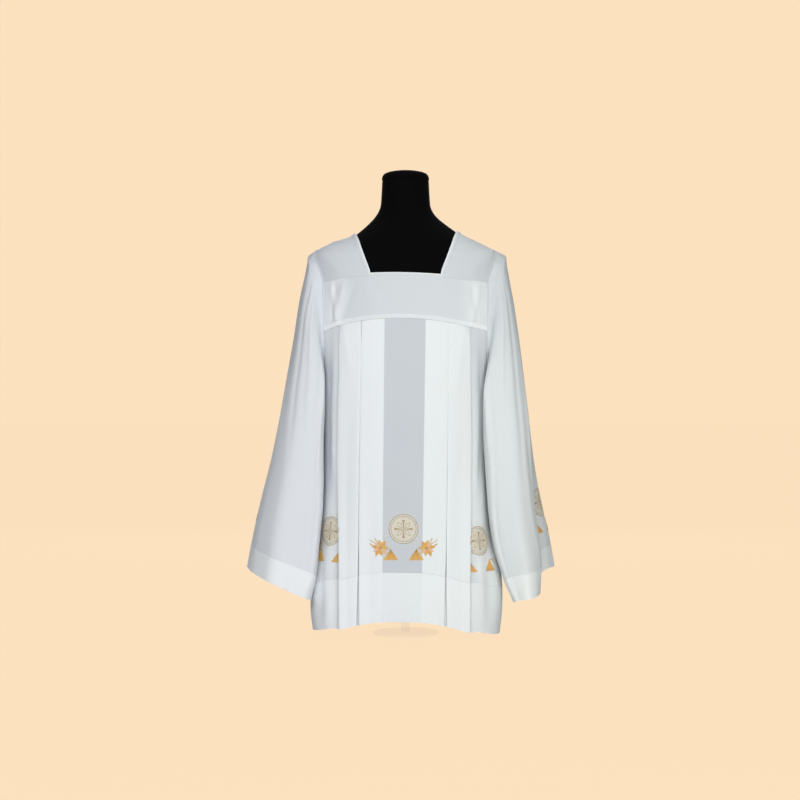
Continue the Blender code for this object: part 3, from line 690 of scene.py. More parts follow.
def pleatColumns(face):
    # across the whole panel: x at the yoke and at the hem, layer, tone, lift of the edge, side of a meeting
    r, step, clear = pleatSizes["foldRound"], pleatSizes["step"], pleatSizes["clear"]
    turns, outermost = np.linspace(0, math.pi, 7)[1:], ((0, 0), (2, 1))
    columns = []
    for number, (firstYoke, firstHem, lastYoke, lastHem, lap) in enumerate(pleatSizes[face]):
        half = [(inward, 0.0) for inward in run(step, lap - r, step)]
        half += [(lap - r + r * math.sin(t), (1 - math.cos(t)) / 2) for t in turns]
        half += [(inward, 1.0) for inward in run(lap - r, r, step)[1:]]
        half += [(r - r * math.sin(t), 1 + (1 - math.cos(t)) / 2) for t in turns]
        half += [(inward, 2.0) for inward in run(r, lap - clear, step)[1:]]
        sides = []
        for edge, way, yokeX, hemX in ((0, 1, firstYoke, firstHem), (1, -1, lastYoke, lastHem)):
            meets = 0 if (number, edge) in outermost else way
            lift = pleatSizes["lifts"][face][number][edge]
            sides.append([])
            for inward, layer in half:
                tone = toneOf["lapped"] if layer > 1 else toneOf["recess"]
                near = 1 - float(smoothStep(0.0, pleatSizes["edgeReach"], inward))
                near *= min(1.0, max(0.0, layer - 0.5))
                place = (yokeX + way * inward, hemX + way * inward)
                sides[-1].append((*place, layer, tone, lift * near, meets * near))
        starts, ends = (firstYoke + lap, firstHem + lap), (lastYoke - lap, lastHem - lap)
        width = ends[0] - starts[0]
        wide = number == 1
        between = []
        for share in run(clear / width, 1 - clear / width, step / width):
            fromLap = min(share, 1 - share) * width
            sunk = pleatSizes["settle"] * float(smoothStep(0.0, pleatSizes["settleReach"], fromLap)) * wide
            place = (mix(starts[0], ends[0], share), mix(starts[1], ends[1], share))
            tone = toneOf["single" if wide else "lapped"]
            between.append((*place, 2 - sunk / pleatSizes["layerAtHem"], tone, 0, 0))
        columns += sides[0] + between + sides[1][::-1]
    return np.array(columns)


def panelTop(face):
    # the panel's upper edge: the yoke's foot between the armholes, and the armhole's line beyond them
    corner = float(edgeX(bodyLine("yokeFoot", 1, face), face))
    cornerAngle = float(armholeAngle(armholeTurn(bodyLine("yokeFoot", 1, face))))

    def top(angle, x):
        share = np.clip((math.pi / 2 - np.abs(angle)) / bodySizes["armholeAngle"], 0.0, 1.0)
        turn = math.pi - np.arcsin(share ** (1 / bodySizes["armholeFullness"]))
        underArm = armholePoint(turn, 1)[..., 2] - seamGap / 2
        height = np.full(np.shape(angle), bodySizes["yokeFoot"][face][0])
        for _ in range(4):
            place = np.copysign(around(height, np.abs(angle), face)[..., 0], angle) if x is None else x
            u = np.minimum(1.0, np.abs(place) / corner)
            height = leaned(bodyLine("yokeFoot", u, face), place, face) - seamGap / 2
        return np.where(np.abs(angle) > cornerAngle + 1e-6, underArm, height)

    return top, cornerAngle


# creases: x and height at one end, x and height at the other, half width, depth
panelCreases = {
    front: (
        (-0.160, 0.690, -0.157, 0.360, 0.0060, 0.0032),
        (-0.172, 0.640, -0.168, 0.330, 0.0070, -0.0034),
        (0.158, 0.680, 0.155, 0.300, 0.0060, 0.0030),
        (0.172, 0.640, 0.166, 0.330, 0.0060, -0.0034),
        (-0.120, 0.560, -0.131, 0.180, 0.0100, -0.0014),
        (0.118, 0.420, 0.114, 0.130, 0.0110, -0.0016),
        (-0.075, 0.330, -0.080, 0.030, 0.0120, -0.0018),
        (0.066, 0.460, 0.060, 0.060, 0.0130, 0.0014),
        (0.012, 0.380, 0.004, 0.030, 0.0240, 0.0012),
        (-0.020, 0.640, -0.034, 0.380, 0.0260, -0.0010),
        (0.130, 0.690, 0.112, 0.560, 0.0080, 0.0016),
        (-0.140, 0.700, -0.122, 0.600, 0.0080, 0.0014),
        (-0.186, 0.250, -0.196, 0.030, 0.0120, -0.0040),
        (0.182, 0.280, 0.192, 0.030, 0.0130, -0.0040),
        (-0.176, 0.200, -0.176, 0.020, 0.0080, 0.0026),
        (0.170, 0.180, 0.168, 0.020, 0.0080, 0.0022),
    ),
    back: (
        (-0.160, 0.720, -0.156, 0.300, 0.0070, 0.0032),
        (0.161, 0.700, 0.158, 0.350, 0.0070, 0.0030),
        (-0.172, 0.620, -0.170, 0.330, 0.0080, -0.0036),
        (0.173, 0.640, 0.170, 0.360, 0.0080, -0.0034),
        (-0.115, 0.520, -0.122, 0.120, 0.0110, -0.0018),
        (0.122, 0.560, 0.118, 0.200, 0.0100, 0.0016),
        (-0.060, 0.600, -0.072, 0.080, 0.0150, -0.0018),
        (0.052, 0.500, 0.060, 0.060, 0.0160, 0.0016),
        (0.006, 0.680, -0.008, 0.260, 0.0260, -0.0016),
        (0.184, 0.260, 0.194, 0.030, 0.0130, -0.0042),
        (-0.184, 0.240, -0.192, 0.030, 0.0150, -0.0016),
    ),
}


def reliefOf(x, height, face, down):
    # the creases, and ripples that grow on the way down
    ripples = rippled(x, height, bodySizes["ripple"], face) * (0.3 + down)
    return creased(x, height, panelCreases[face]) + ripples


def downFrom(height):
    # the share of the way down from the front yoke to the floor
    return np.clip(1 - height / bodySizes["yokeFoot"][front][0], 0.0, 1.0)


def pleatedMiddle(face, share, top, foot):
    # points and tones of the pleated stretch, which the laps of the outermost pleats end
    table = pleatColumns(face)
    shape = (len(share), len(table))
    xYoke, xHem, layer, tone, lift, meets = (np.broadcast_to(column, shape) for column in table.T)
    sizes, spans = pleatSizes, pleatSizes["spans"]
    x = xYoke.copy()
    for _ in range(3):
        angle = np.copysign(angleOf(sizes["angleHeight"], x), x)
        height = mix(top(angle, x), foot(angle, x), share)
        down = downFrom(height)
        opened = np.where(x < 0, sizes["opened"][right], sizes["opened"][left])
        opened = opened * (1 - smoothStep(*spans["opened"], down))
        closing = (1 - opened) * (1 - smoothStep(*spans["closing"], down)) * sizes["closing"]
        parting = smoothStep(*spans["parting"], down) * sizes["parting"]
        x = mix(xYoke, xHem, down) - meets * (closing - parting)
    soon, evenly = sizes["loosening"]
    loosened = soon * smoothStep(*spans["loosening"], down) + evenly * down
    pitch = mix(sizes["layerAtYoke"], sizes["layerAtHem"], loosened)
    tucked = sizes["tuck"] * (1 - smoothStep(*spans["tucked"], down))
    lifted = lift * down ** sizes["liftGrowth"]
    y, normal = across(height, x, face)
    off = layer * pitch - tucked + lifted + reliefOf(x, height, face, down)
    # painted shade on the lapped cloth at the top corners of the outermost pleats
    fromEdge = np.minimum(np.abs(x - sizes[face][0][0]), np.abs(x - sizes[face][-1][2]))
    corner = np.exp(-((fromEdge / sizes["cornerWide"]) ** 2)) * (layer > 1.5)
    corner = corner * (1 - smoothStep(0.0, sizes["cornerDeep"], share))
    return points(x, y, height) + normal * off[..., None], tone + toneOf["corner"] * corner


def plainSides(face, share, top, foot, cornerAngle):
    # points of the cloth on each side of the pleats, and its tones, which both sides share
    sizes = sideSizes
    outermost = max(-pleatSizes[face][0][0], pleatSizes[face][-1][2]) + pleatSizes["margin"]
    start = float(angleOf(sizes["angleHeight"], outermost))
    upper = np.linspace(start, cornerAngle, sizes["upperColumns"])
    crowded = np.linspace(0, 1, sizes["lowerColumns"] + 1)[1:] ** sizes["crowding"]
    angles = np.concatenate([upper, mix(cornerAngle, math.pi / 2 - sizes["seamClear"], crowded)])
    sides = {}
    for side in (right, left):
        angle = np.broadcast_to(side * angles, (len(share), len(angles)))
        height = mix(top(angle, None), foot(angle, None), share)
        place = around(height, angle, face)
        inBand = height < bodySizes["hemBand"] * 2
        fade = np.where(inBand, 1.0, smoothStep(0.0, sizes["armholeFades"], share))
        fade = fade * smoothStep(0.0, sizes["seamFades"], math.pi / 2 - np.abs(angle))
        relief = reliefOf(place[..., 0], height, face, downFrom(height)) * fade
        sides[side] = place + clothNormal(place) * relief[..., None]
    # painted light: the sides lighter than their single layer, more so towards the foot
    tone = mix(toneOf["side"], toneOf["sideFoot"], smoothStep(*sizes["footFrom"], share) + 0 * angles)
    # painted shade in the recess beside the pleats
    tone = tone + toneOf["besidePleatsShade"] * (1 - smoothStep(0, sizes["besidePleatsShade"], angles - start))
    # painted shade on the side, under the sleeve
    under = smoothStep(*sizes["underArmShadeTurn"], angles) * smoothStep(*sizes["underArmShadeShare"], share)
    tone = tone + toneOf["underArm"] * under
    return sides, tone


def panelGrid(face, shares, top, foot, cornerAngle):
    # rows of points of a panel or its hem band, with the tone of each
    share = np.asarray(shares)[:, None]
    middle, tone = pleatedMiddle(face, share, top, foot)
    sides, sideTone = plainSides(face, share, top, foot, cornerAngle)
    rows = np.concatenate([sides[right][:, ::-1], middle, sides[left]], 1)
    tones = np.concatenate([sideTone[:, ::-1], tone, sideTone], 1)
    x, height = rows[..., 0], rows[..., 2]
    outRight, outLeft = flareCurves.at(height)
    nearSide = np.minimum(1.0, np.abs(x) / clothSection(height)[0]) ** sideSizes["flarePower"]
    flare = np.where(x > 0, outLeft, -outRight) * nearSide
    rows[..., 0] += flare * smoothStep(*sideSizes["flareFrom"], height)
    return rows, tones


def makePanel(name, node, face):
    top, cornerAngle = panelTop(face)
    foot = lambda angle, x: hemHeight(angle, face) + bodySizes["hemBand"] + seamGap / 2
    rows, tones = panelGrid(face, np.linspace(0, 1, pleatSizes["levels"]), top, foot, cornerAngle)
    makeCloth(name, node, "single", facedOut(rows, face), facedOut(tones, face))


def makeHemBand(name, node, face):
    top = lambda angle, x: hemHeight(angle, face) + bodySizes["hemBand"] - seamGap / 2
    foot = lambda angle, x: hemHeight(angle, face)
    rows, tones = panelGrid(face, np.linspace(0, 1, pleatSizes["bandLevels"]), top, foot, panelTop(face)[1])
    # the band's doubled cloth, painted lighter than three layers for the dimmer light low down
    tones = mix(tones, toneOf["band"], toneOf["bandShare"])
    # painted light at the band's end on the wearer's right
    tones = tones + toneOf["bandEndLight"] * smoothStep(*toneOf["bandEndLightFrom"], rows[..., 0])
    makeCloth(name, node, "doubled", facedOut(rows, face), facedOut(tones, face))


makePanel("pleatedFront", "front_panel", front)
makePanel("pleatedBack", "back_panel", back)
makeHemBand("frontHemBand", "front_hem_band", front)
makeHemBand("backHemBand", "back_hem_band", back)


# The yokes

yokeSizes = {
    "columns": 140,
    "levels": 34,
    "edgeStrip": 0.0085,  # the turned edge that shows as a brighter strip along the foot
    "tone": {front: 0.47, back: 0.47},
    "toneSwing": 0.07,
    "endTone": 0.42,
    "endsFrom": (0.58, 0.88),  # shares of the way to the armhole where the ends grow lighter
    "stripTone": 0.80,
    "stripRise": 0.0010,
    "stripEdge": 0.004,  # share of the depth in which the strip rises
    "ripple": 0.0005,
    "sideFades": (0.0, 0.05),
    "topFades": (0.0, 0.08),
    "footCalms": (0.8, 1.0),
    "creases": {
        front: (
            (-0.168, 0.802, -0.152, 0.700, 0.0055, 0.0034),
            (-0.158, 0.806, -0.166, 0.712, 0.0050, -0.0030),
            (-0.138, 0.802, -0.156, 0.720, 0.0060, 0.0028),
            (-0.112, 0.802, -0.146, 0.706, 0.0080, -0.0016),
            (0.166, 0.800, 0.148, 0.700, 0.0070, 0.0024),
            (0.150, 0.792, 0.160, 0.716, 0.0060, -0.0022),
            (0.060, 0.792, -0.020, 0.716, 0.0220, 0.0010),
            (-0.096, 0.796, -0.058, 0.748, 0.0090, 0.0012),
            (-0.078, 0.800, -0.046, 0.758, 0.0080, -0.0010),
            (0.060, 0.8075, 0.166, 0.7990, 0.0036, 0.0010),
            (0.150, 0.742, 0.172, 0.716, 0.0060, 0.0014),
        ),
        back: (
            (-0.160, 0.840, -0.172, 0.750, 0.0070, 0.0026),
            (-0.140, 0.850, -0.160, 0.756, 0.0080, -0.0020),
            (0.158, 0.845, 0.172, 0.752, 0.0070, 0.0024),
            (0.120, 0.850, 0.146, 0.762, 0.0100, -0.0018),
            (-0.030, 0.850, 0.020, 0.770, 0.0240, -0.0010),
        ),
    },
}


def makeYoke(name, node, face):
    v = np.linspace(0, 1, yokeSizes["levels"] + 1)
    depth = bodyLine("neck", 0, face) - bodyLine("yokeFoot", 0, face)
    strip = 1 - yokeSizes["edgeStrip"] / depth
    v = np.sort(np.append(v, (strip - yokeSizes["stripEdge"], strip + yokeSizes["stripEdge"])))[:, None]
    corner = mix(bodyLine("neck", 1, face) - seamGap / 2, bodyLine("yokeFoot", 1, face) + seamGap / 2, v)
    edge = edgeX(corner, face)
    u = np.linspace(-1, 1, yokeSizes["columns"] + 1)[None, :]
    x = u * edge
    top = leaned(bodyLine("neck", u, face), x, face) - seamGap / 2
    foot = leaned(bodyLine("yokeFoot", u, face), x, face) + seamGap / 2
    height = mix(top, foot, v)
    rows = points(x, across(height, x, face)[0], height)
    inStrip = np.where(v > strip, 1.0, 0.0)
    fade = smoothStep(*yokeSizes["sideFades"], 1 - np.abs(u)) * smoothStep(*yokeSizes["topFades"], v)
    fade = fade * (1 - 0.5 * smoothStep(*yokeSizes["footCalms"], v))
    relief = creased(x, height, yokeSizes["creases"][face])
    relief = (relief + rippled(x, height, yokeSizes["ripple"], 2 * face)) * fade
    relief = relief + inStrip * yokeSizes["stripRise"]
    rows = rows + clothNormal(rows) * relief[..., None]
    tone = mix(yokeSizes["tone"][face], yokeSizes["stripTone"], inStrip) + 0 * x
    ends = yokeSizes["endTone"] * smoothStep(*yokeSizes["endsFrom"], np.abs(u))
    tone = tone + yokeSizes["toneSwing"] * u + ends
    makeCloth(name, node, "doubled", facedOut(rows, face), facedOut(tone, face))


makeYoke("frontYoke", "front_yoke", front)
makeYoke("backYoke", "back_yoke", back)


# The shoulder pieces and the strip round the neckline

neckEase = {  # how the neckline has spread and sunk where it crosses the shoulders, with the form under it
    "middle": 0.108,
    "reach": 0.038,
    "out": {left: 0.0110, right: 0.0080},
    "down": {left: 0.0040, right: 0.0100},
    "from": {front: 0.829, back: 0.868},
    "over": 0.075,
    "crest": 0.0034,  # how much further the crest itself sinks
    "crestReach": 0.020,
    "sideFades": (0.175, 0.150),
    "neckFades": (0.985, 0.945),  # the neck stays as it is above the one and moves in full below the other
}


def easedNeck(place):
    x, y, height = place[..., 0], place[..., 1], place[..., 2]
    away = (np.abs(x) - neckEase["middle"]) / neckEase["reach"]
    foot = mix(neckEase["from"][front], neckEase["from"][back], smoothStep(-0.04, 0.04, y))
    share = np.exp(-(away**2)) * smoothStep(*neckEase["sideFades"], np.abs(x))
    share = share * smoothStep(*neckEase["neckFades"], height)
    over = np.clip((height - foot) / neckEase["over"], 0.0, 1.0)
    share = share * over * (2 - over)
    out = np.where(x > 0, neckEase["out"][left], -neckEase["out"][right])
    down = np.where(x > 0, neckEase["down"][left], neckEase["down"][right])
    down = down + neckEase["crest"] * np.exp(-((y / neckEase["crestReach"]) ** 2))
    return place + points(out * share, 0.0, -down * share)


shoulderSizes = {
    "columns": 40,
    "levels": 84,
    "tone": 0.40,
    "edgeFades": (0.0, 0.12),
    "seamFades": (0.0, 0.10),
    "creases": (  # share across and turn, one end and the other, half width, depth
        (0.55, 0.95, 0.95, 0.35, 0.10, 0.0016),
        (0.20, 0.80, 0.75, 0.05, 0.14, -0.0012),
        (0.60, -0.90, 0.92, -0.30, 0.11, 0.0016),
        (0.25, -0.75, 0.60, -0.20, 0.14, -0.0012),
    ),
}


def neckHalf(turn):
    end = np.where(turn > 0, bodySizes["neckHalf"][front], bodySizes["neckHalf"][back])
    return mix(bodySizes["neckHalf"]["ridge"], end, np.abs(turn) ** bodySizes["neckHalfPower"])


def seamAt(x, side, face):
    # the height of the seam between a yoke and the shoulder piece
    edge = edgeX(bodyLine("neck", 1, face), face)
    return leaned(bodyLine("neck", np.minimum(1.0, x / edge), face), side * x, face)


def shoulderPoint(x, turn, side, gap=0.0, correction=0.0):
    # turn goes from 1 at the front seam over the shoulder, 0, to -1 at the back seam
    low = np.where(turn >= 0, seamAt(x, side, front), seamAt(x, side, back)) + gap
    ridge = ridgeHeight(x)
    height = ridge - (ridge - low) * (1 - np.cos(turn * math.pi / 2)) + correction
    y = np.where(turn >= 0, across(height, x, front)[0], across(height, x, back)[0])
    return points(side * x, y, height)


def makeShoulder(name, node, side):
    levels, columns = shoulderSizes["levels"], shoulderSizes["columns"]
    turn = np.linspace(1, -1, levels + 1)[:, None]
    frontTurn, backTurn = (armholeTurn(bodyLine("neck", 1, face) + seamGap / 2) for face in (front, back))
    seamTurn = np.where(turn >= 0, frontTurn, backTurn)
    edge = armholePoint(seamTurn * turn, 1)
    near = neckHalf(turn) + bodySizes["binding"] + seamGap
    plain = shoulderPoint(edge[..., 0], turn, side, seamGap / 2)[..., 2]
    share = np.linspace(0, 1, columns + 1)[None, :]
    x = mix(near, edge[..., 0], share)
    rows = shoulderPoint(x, turn + 0 * share, side, seamGap / 2, (edge[..., 2] - plain) * share**2)
    relief = creased(share + 0 * turn, turn + 0 * share, shoulderSizes["creases"])
    for fades, away in (("edgeFades", share), ("edgeFades", 1 - share), ("seamFades", 1 - np.abs(turn))):
        relief = relief * smoothStep(*shoulderSizes[fades], away)
    rows = easedNeck(rows + clothNormal(rows) * relief[..., None])
    makeCloth(name, node, "doubled", rows if side == left else rows[:, ::-1], shoulderSizes["tone"])


bindingSizes = {
    "acrossSteps": 60,
    "overSteps": 70,
    "rings": 9,
    "bulge": 0.0006,
    "tone": 0.50,
    "rimTone": 1.05,
    "rim": 0.0022,
}


def neckLoop(width):
    # the line round the neckline, as far into the cloth from its edge as the width
    steps, over = bindingSizes["acrossSteps"], bindingSizes["overSteps"]
    rise = seamGap / 2 + bodySizes["binding"] - width
    share = np.linspace(-1, 1, steps + 1)
    lines = {}
    for face in (front, back):
        x = -face * share * (bodySizes["neckHalf"][face] + width)
        height = seamAt(np.abs(x), 1, face) + rise
        if face == front:
            height = height + bodySizes["lean"] * (x - np.abs(x))
        lines[face] = points(x, across(height, x, face)[0], height)
    turn = 1 - 2 * np.arange(1, over) / over
    leftLine = shoulderPoint(neckHalf(turn) + width, turn, left, rise)
    rightLine = shoulderPoint(neckHalf(turn[::-1]) + width, turn[::-1], right, rise)
    return easedNeck(np.concatenate([lines[front], leftLine, lines[back], rightLine]))


def makeBinding():
    sizes = bindingSizes
    widths = np.linspace(0.0, bodySizes["binding"], sizes["rings"])
    rows = np.stack([neckLoop(width) for width in widths])
    crown = np.sin(np.linspace(0, math.pi, sizes["rings"]))[:, None] * sizes["bulge"]
    rows = rows + clothNormal(rows) * crown[..., None]
    plain = smoothStep(0.5, 1.5, widths / sizes["rim"])[:, None]
    tone = mix(sizes["rimTone"], sizes["tone"], plain)
    makeCloth("neckBinding", "neck_binding", "doubled", rows, tone, closed=True)


makeShoulder("leftShoulder", "left_shoulder", left)
makeShoulder("rightShoulder", "right_shoulder", right)
makeBinding()


# The sleeves and their cuff bands

sleeveSizes = {
    left: {
        "rows": (  # inner, inner height, outer, outer height, front, back, wrap
            (0.1955, 0.5860, 0.2360, 0.8700, 0.0670, 0.0650, 0.004),
            (0.1960, 0.5700, 0.2375, 0.8380, 0.0780, 0.0740, 0.018),
            (0.1955, 0.5400, 0.2445, 0.7690, 0.0890, 0.0850, 0.038),
            (0.1945, 0.4950, 0.2590, 0.6770, 0.0960, 0.0930, 0.052),
            (0.1935, 0.4350, 0.2730, 0.5850, 0.1010, 0.0990, 0.051),
            (0.1920, 0.3650, 0.2880, 0.4930, 0.1050, 0.1040, 0.044),
            (0.1940, 0.2950, 0.2990, 0.4010, 0.1080, 0.1080, 0.040),
            (0.2035, 0.2200, 0.3130, 0.3090, 0.1110, 0.1120, 0.042),
            (0.2175, 0.1450, 0.3310, 0.2170, 0.1150, 0.1160, 0.028),
            (0.2330, 0.0860, 0.3360, 0.1540, 0.1180, 0.1190, 0.006),
        ),
        "cuff": (  # angle, out, forward, height
            (0, 0.294, 0.026, 0.134),
            (25, 0.304, 0.062, 0.104),
            (50, 0.296, 0.100, 0.098),
            (75, 0.272, 0.119, 0.092),
            (105, 0.252, 0.113, 0.088),
            (140, 0.2425, 0.084, 0.083),
            (180, 0.2440, 0.014, 0.083),
            (220, 0.246, -0.060, 0.092),
            (255, 0.264, -0.108, 0.112),
            (290, 0.304, -0.112, 0.136),
            (325, 0.348, -0.066, 0.1505),
            (345, 0.330, -0.012, 0.150),
        ),
        "folds": (  # angle, spread, depth, start
            (70, 14, 0.005, 0.20),
            (100, 13, -0.005, 0.25),
            (222, 16, 0.007, 0.35),
            (258, 16, -0.009, 0.30),
            (296, 16, 0.008, 0.35),
        ),
        "creases": (  # turn in hundreds of degrees and share, one end and the other, half width, depth
            (0.62, 0.02, 0.86, 0.46, 0.050, 0.0030),
            (0.40, 0.04, 0.58, 0.62, 0.060, -0.0030),
            (1.18, 0.10, 1.02, 0.72, 0.060, 0.0026),
            (0.95, 0.30, 1.12, 0.98, 0.050, -0.0026),
            (0.16, 0.12, 0.26, 0.66, 0.060, 0.0026),
            (3.05, 0.06, 2.80, 0.70, 0.070, 0.0034),
            (2.50, 0.14, 2.42, 0.80, 0.070, -0.0034),
            (3.36, 0.24, 3.24, 0.90, 0.060, -0.0030),
            (0.50, 0.60, 0.30, 0.99, 0.070, 0.0030),
            (0.04, 0.26, 0.09, 0.96, 0.080, -0.0075),
            (0.29, 0.28, 0.27, 0.95, 0.060, 0.0030),
            (1.36, 0.30, 1.40, 0.90, 0.070, 0.0024),
            (0.34, 0.03, 0.44, 0.15, 0.030, 0.0022),
            (0.24, 0.03, 0.30, 0.13, 0.025, -0.0020),
            (0.52, 0.04, 0.56, 0.20, 0.030, -0.0018),
            (0.10, 0.03, 0.14, 0.17, 0.030, 0.0020),
        ),
    },
    right: {
        "rows": (
            (0.1955, 0.5860, 0.2220, 0.8680, 0.0670, 0.0650, 0.004),
            (0.1960, 0.5700, 0.2285, 0.8380, 0.0780, 0.0740, 0.018),
            (0.1955, 0.5400, 0.2400, 0.7690, 0.0890, 0.0850, 0.034),
            (0.1945, 0.4950, 0.2540, 0.6770, 0.0960, 0.0930, 0.038),
            (0.1935, 0.4350, 0.2710, 0.5850, 0.1010, 0.0990, 0.033),
            (0.1935, 0.3650, 0.2880, 0.4930, 0.1050, 0.1040, 0.034),
            (0.1970, 0.2950, 0.3060, 0.4010, 0.1080, 0.1080, 0.038),
            (0.2080, 0.2200, 0.3280, 0.3090, 0.1110, 0.1120, 0.046),
            (0.2150, 0.1450, 0.3470, 0.2170, 0.1150, 0.1160, 0.043),
            (0.2210, 0.0820, 0.3570, 0.1540, 0.1180, 0.1190, 0.016),
        ),
        "cuff": (
            (0, 0.362, 0.018, 0.156),
            (30, 0.347, 0.068, 0.147),
            (60, 0.306, 0.108, 0.131),
            (90, 0.268, 0.120, 0.113),
            (120, 0.231, 0.113, 0.096),
            (150, 0.2135, 0.084, 0.086),
            (180, 0.221, 0.012, 0.083),
            (215, 0.226, -0.060, 0.089),
            (250, 0.250, -0.106, 0.105),
            (285, 0.290, -0.116, 0.129),
            (320, 0.330, -0.082, 0.148),
            (345, 0.356, -0.026, 0.156),
        ),
        "folds": (
            (38, 16, -0.0025, 0.25),
            (64, 14, 0.006, 0.30),
            (96, 14, -0.006, 0.35),
            (124, 14, 0.005, 0.30),
            (226, 16, 0.007, 0.40),
            (264, 16, -0.009, 0.30),
            (306, 16, 0.009, 0.35),
        ),
        "creases": (
            (0.70, 0.02, 0.90, 0.50, 0.050, 0.0030),
            (0.46, 0.05, 0.62, 0.58, 0.060, -0.0028),
            (1.20, 0.12, 1.06, 0.68, 0.060, 0.0028),
            (0.98, 0.20, 1.10, 0.90, 0.050, -0.0024),
            (0.18, 0.10, 0.24, 0.62, 0.060, 0.0026),
            (3.02, 0.06, 2.86, 0.74, 0.070, 0.0034),
            (2.46, 0.16, 2.38, 0.84, 0.070, -0.0034),
            (3.34, 0.20, 3.28, 0.88, 0.060, -0.0030),
            (0.30, 0.03, 0.38, 0.14, 0.028, 0.0018),
            (0.48, 0.04, 0.54, 0.19, 0.030, -0.0018),
            (0.08, 0.03, 0.14, 0.16, 0.030, 0.0018),
        ),
    },
    "shoulder": {  # the fuller head, by share of the length and degrees from the top
        "share": 0.070,
        "reach": 0.042,
        "spread": 36,
        "out": {left: 0.0072, right: 0.0058},
        "lift": 0.0030,
    },
    "cuffFrom": 0.25,
    "cuffGrowth": 1.6,
    "blend": (-0.12, 0.26),  # from the armhole's line to the sleeve's own, in shares of the length
    "power": 2.5,
    "backWrap": 0.5,
    "band": 0.0600,
    "measured": 0.15,  # the last share of the length, from which the band's is worked out
    "firstRow": 0.07,
    "lapRows": ((0.0050, 0.0014), (0.0030, 0.0016), (0.0010, 0.0022)),  # into the body, off its cloth
    "sides": 200,
    "levels": 118,
    "bandLevels": 14,
    "tones": {left: (0.42, 0.76, 0.74), right: (0.56, 0.70, 0.76)},  # at the head, halfway and at the foot
    "toneSpans": ((0.05, 0.40), (0.45, 0.95)),
    # the cuff's doubled cloth, painted lighter than three layers for the dimmer light low on the sleeve
    "bandTone": 1.15,
    "shadeFades": 0.25,
    "shades": {  # painted shade: turn, spread, how much darker the cloth is painted, and the shares where that starts and ends
        left: ((163, 11, 0.50, 0.1, 1.3), (-14, 24, 0.50, 0.2, 0.85), (14, 26, 0.60, -0.1, 0.60)),
        right: ((163, 11, 0.65, 0.1, 1.3), (0, 16, 0.25, 0.3, 0.85), (14, 26, 0.70, -0.1, 0.60)),
    },
}

for side in (left, right):
    sizes = sleeveSizes[side]
    last = len(sizes["rows"]) - 1
    sizes["curves"] = RowCurves([(number / last, *row) for number, row in enumerate(sizes["rows"])])
    sizes["cuffCurves"] = RowCurves(sizes["cuff"] + ((360, *sizes["cuff"][0][1:]),))


def turnFrom(turn, angle):
    # degrees between a turn and an angle, the shorter way round
    return (np.degrees(turn) - angle + 180) % 360 - 180


def ovalPoint(share, turn, side):
    # a point of the sleeve's own ovals, without the armhole, the cuff and the folds, and the way out there
    inner, innerZ, outer, outerZ, frontDepth, backDepth, wrap = sleeveSizes[side]["curves"].at(share)
    cosine, sine = np.cos(turn), np.sin(turn)
    power = 2 / sleeveSizes["power"]
    along = np.copysign(np.abs(cosine) ** power, cosine)
    forward = np.copysign(np.abs(sine) ** power, sine)
    depth = np.where(forward > 0, frontDepth, backDepth)
    reachX, reachZ = (outer - inner) / 2, (outerZ - innerZ) / 2
    wrapped = np.maximum(0, forward) ** 2 + sleeveSizes["backWrap"] * np.maximum(0, -forward) ** 2
    x = (inner + outer) / 2 + reachX * along - wrap * (1 - along) / 2 * wrapped
    place = points(x, -depth * forward, (innerZ + outerZ) / 2 + reachZ * along)
    reach = np.sqrt(reachX**2 + reachZ**2)
    return place, unit(points(along * reach, -forward * depth, 0 * along))


def sleevePoints(share, turn, side):
    # share goes from the armhole to the cuff, and turn round the sleeve from its top by way of the front
    share, turn = np.broadcast_arrays(np.asarray(share, float), np.asarray(turn, float))
    sizes = sleeveSizes[side]
    cuffFrom = sleeveSizes["cuffFrom"]
    grown = np.maximum(0.0, (share - cuffFrom) / (1 - cuffFrom)) ** sleeveSizes["cuffGrowth"]
    blend = np.where(share <= 0, 0.0, smoothStep(*sleeveSizes["blend"], share))
    place, out = ovalPoint(share, turn, side)
    cuffOut, cuffForward, cuffHeight = sizes["cuffCurves"].at(np.degrees(turn) % 360)
    toCuff = points(cuffOut, -cuffForward, cuffHeight) - ovalPoint(1.0 + 0 * share, turn, side)[0]
    place = place + toCuff * grown[..., None]
    depth = 0.0
    for angle, spread, size, start in sizes["folds"]:
        near = np.exp(-((turnFrom(turn, angle) / spread) ** 2))
        depth = depth + size * smoothStep(start, 1.0, share) * near
    for lap in (0.0, 3.6, -3.6):
        lay = creased(np.degrees(turn) / 100 + lap, share, sizes["creases"])
        depth = depth + lay * smoothStep(0.0, 0.1, share)
    place = place + out * depth[..., None]
    place[..., 0] *= side
    start = armholePoint(turn, side)
    start = start + clothNormal(start) * bodySizes["armholeSeam"]
    place = mix(start, place, blend[..., None])
    head = sleeveSizes["shoulder"]
    fullness = ((share - head["share"]) / head["reach"]) ** 2 + (turnFrom(turn, 0) / head["spread"]) ** 2
    fullness = np.exp(-fullness) * smoothStep(0.0, 0.05, share)
    place[..., 0] += side * head["out"][side] * fullness
    place[..., 2] += head["lift"] * fullness
    return place


def armholeLap(turn, side, inward, rise):
    # a line beside the armhole, moved into the body and off its cloth
    place = armholePoint(turn, side)
    alongSeam = armholePoint(turn + 0.01, side) - armholePoint(turn - 0.01, side)
    way = unit(np.cross(clothNormal(place), alongSeam))
    middle = place.mean(axis=(0, 1))
    away = ((place - middle) * way).sum(-1, keepdims=True)
    return place + way * np.sign(away) * inward + clothNormal(place) * rise


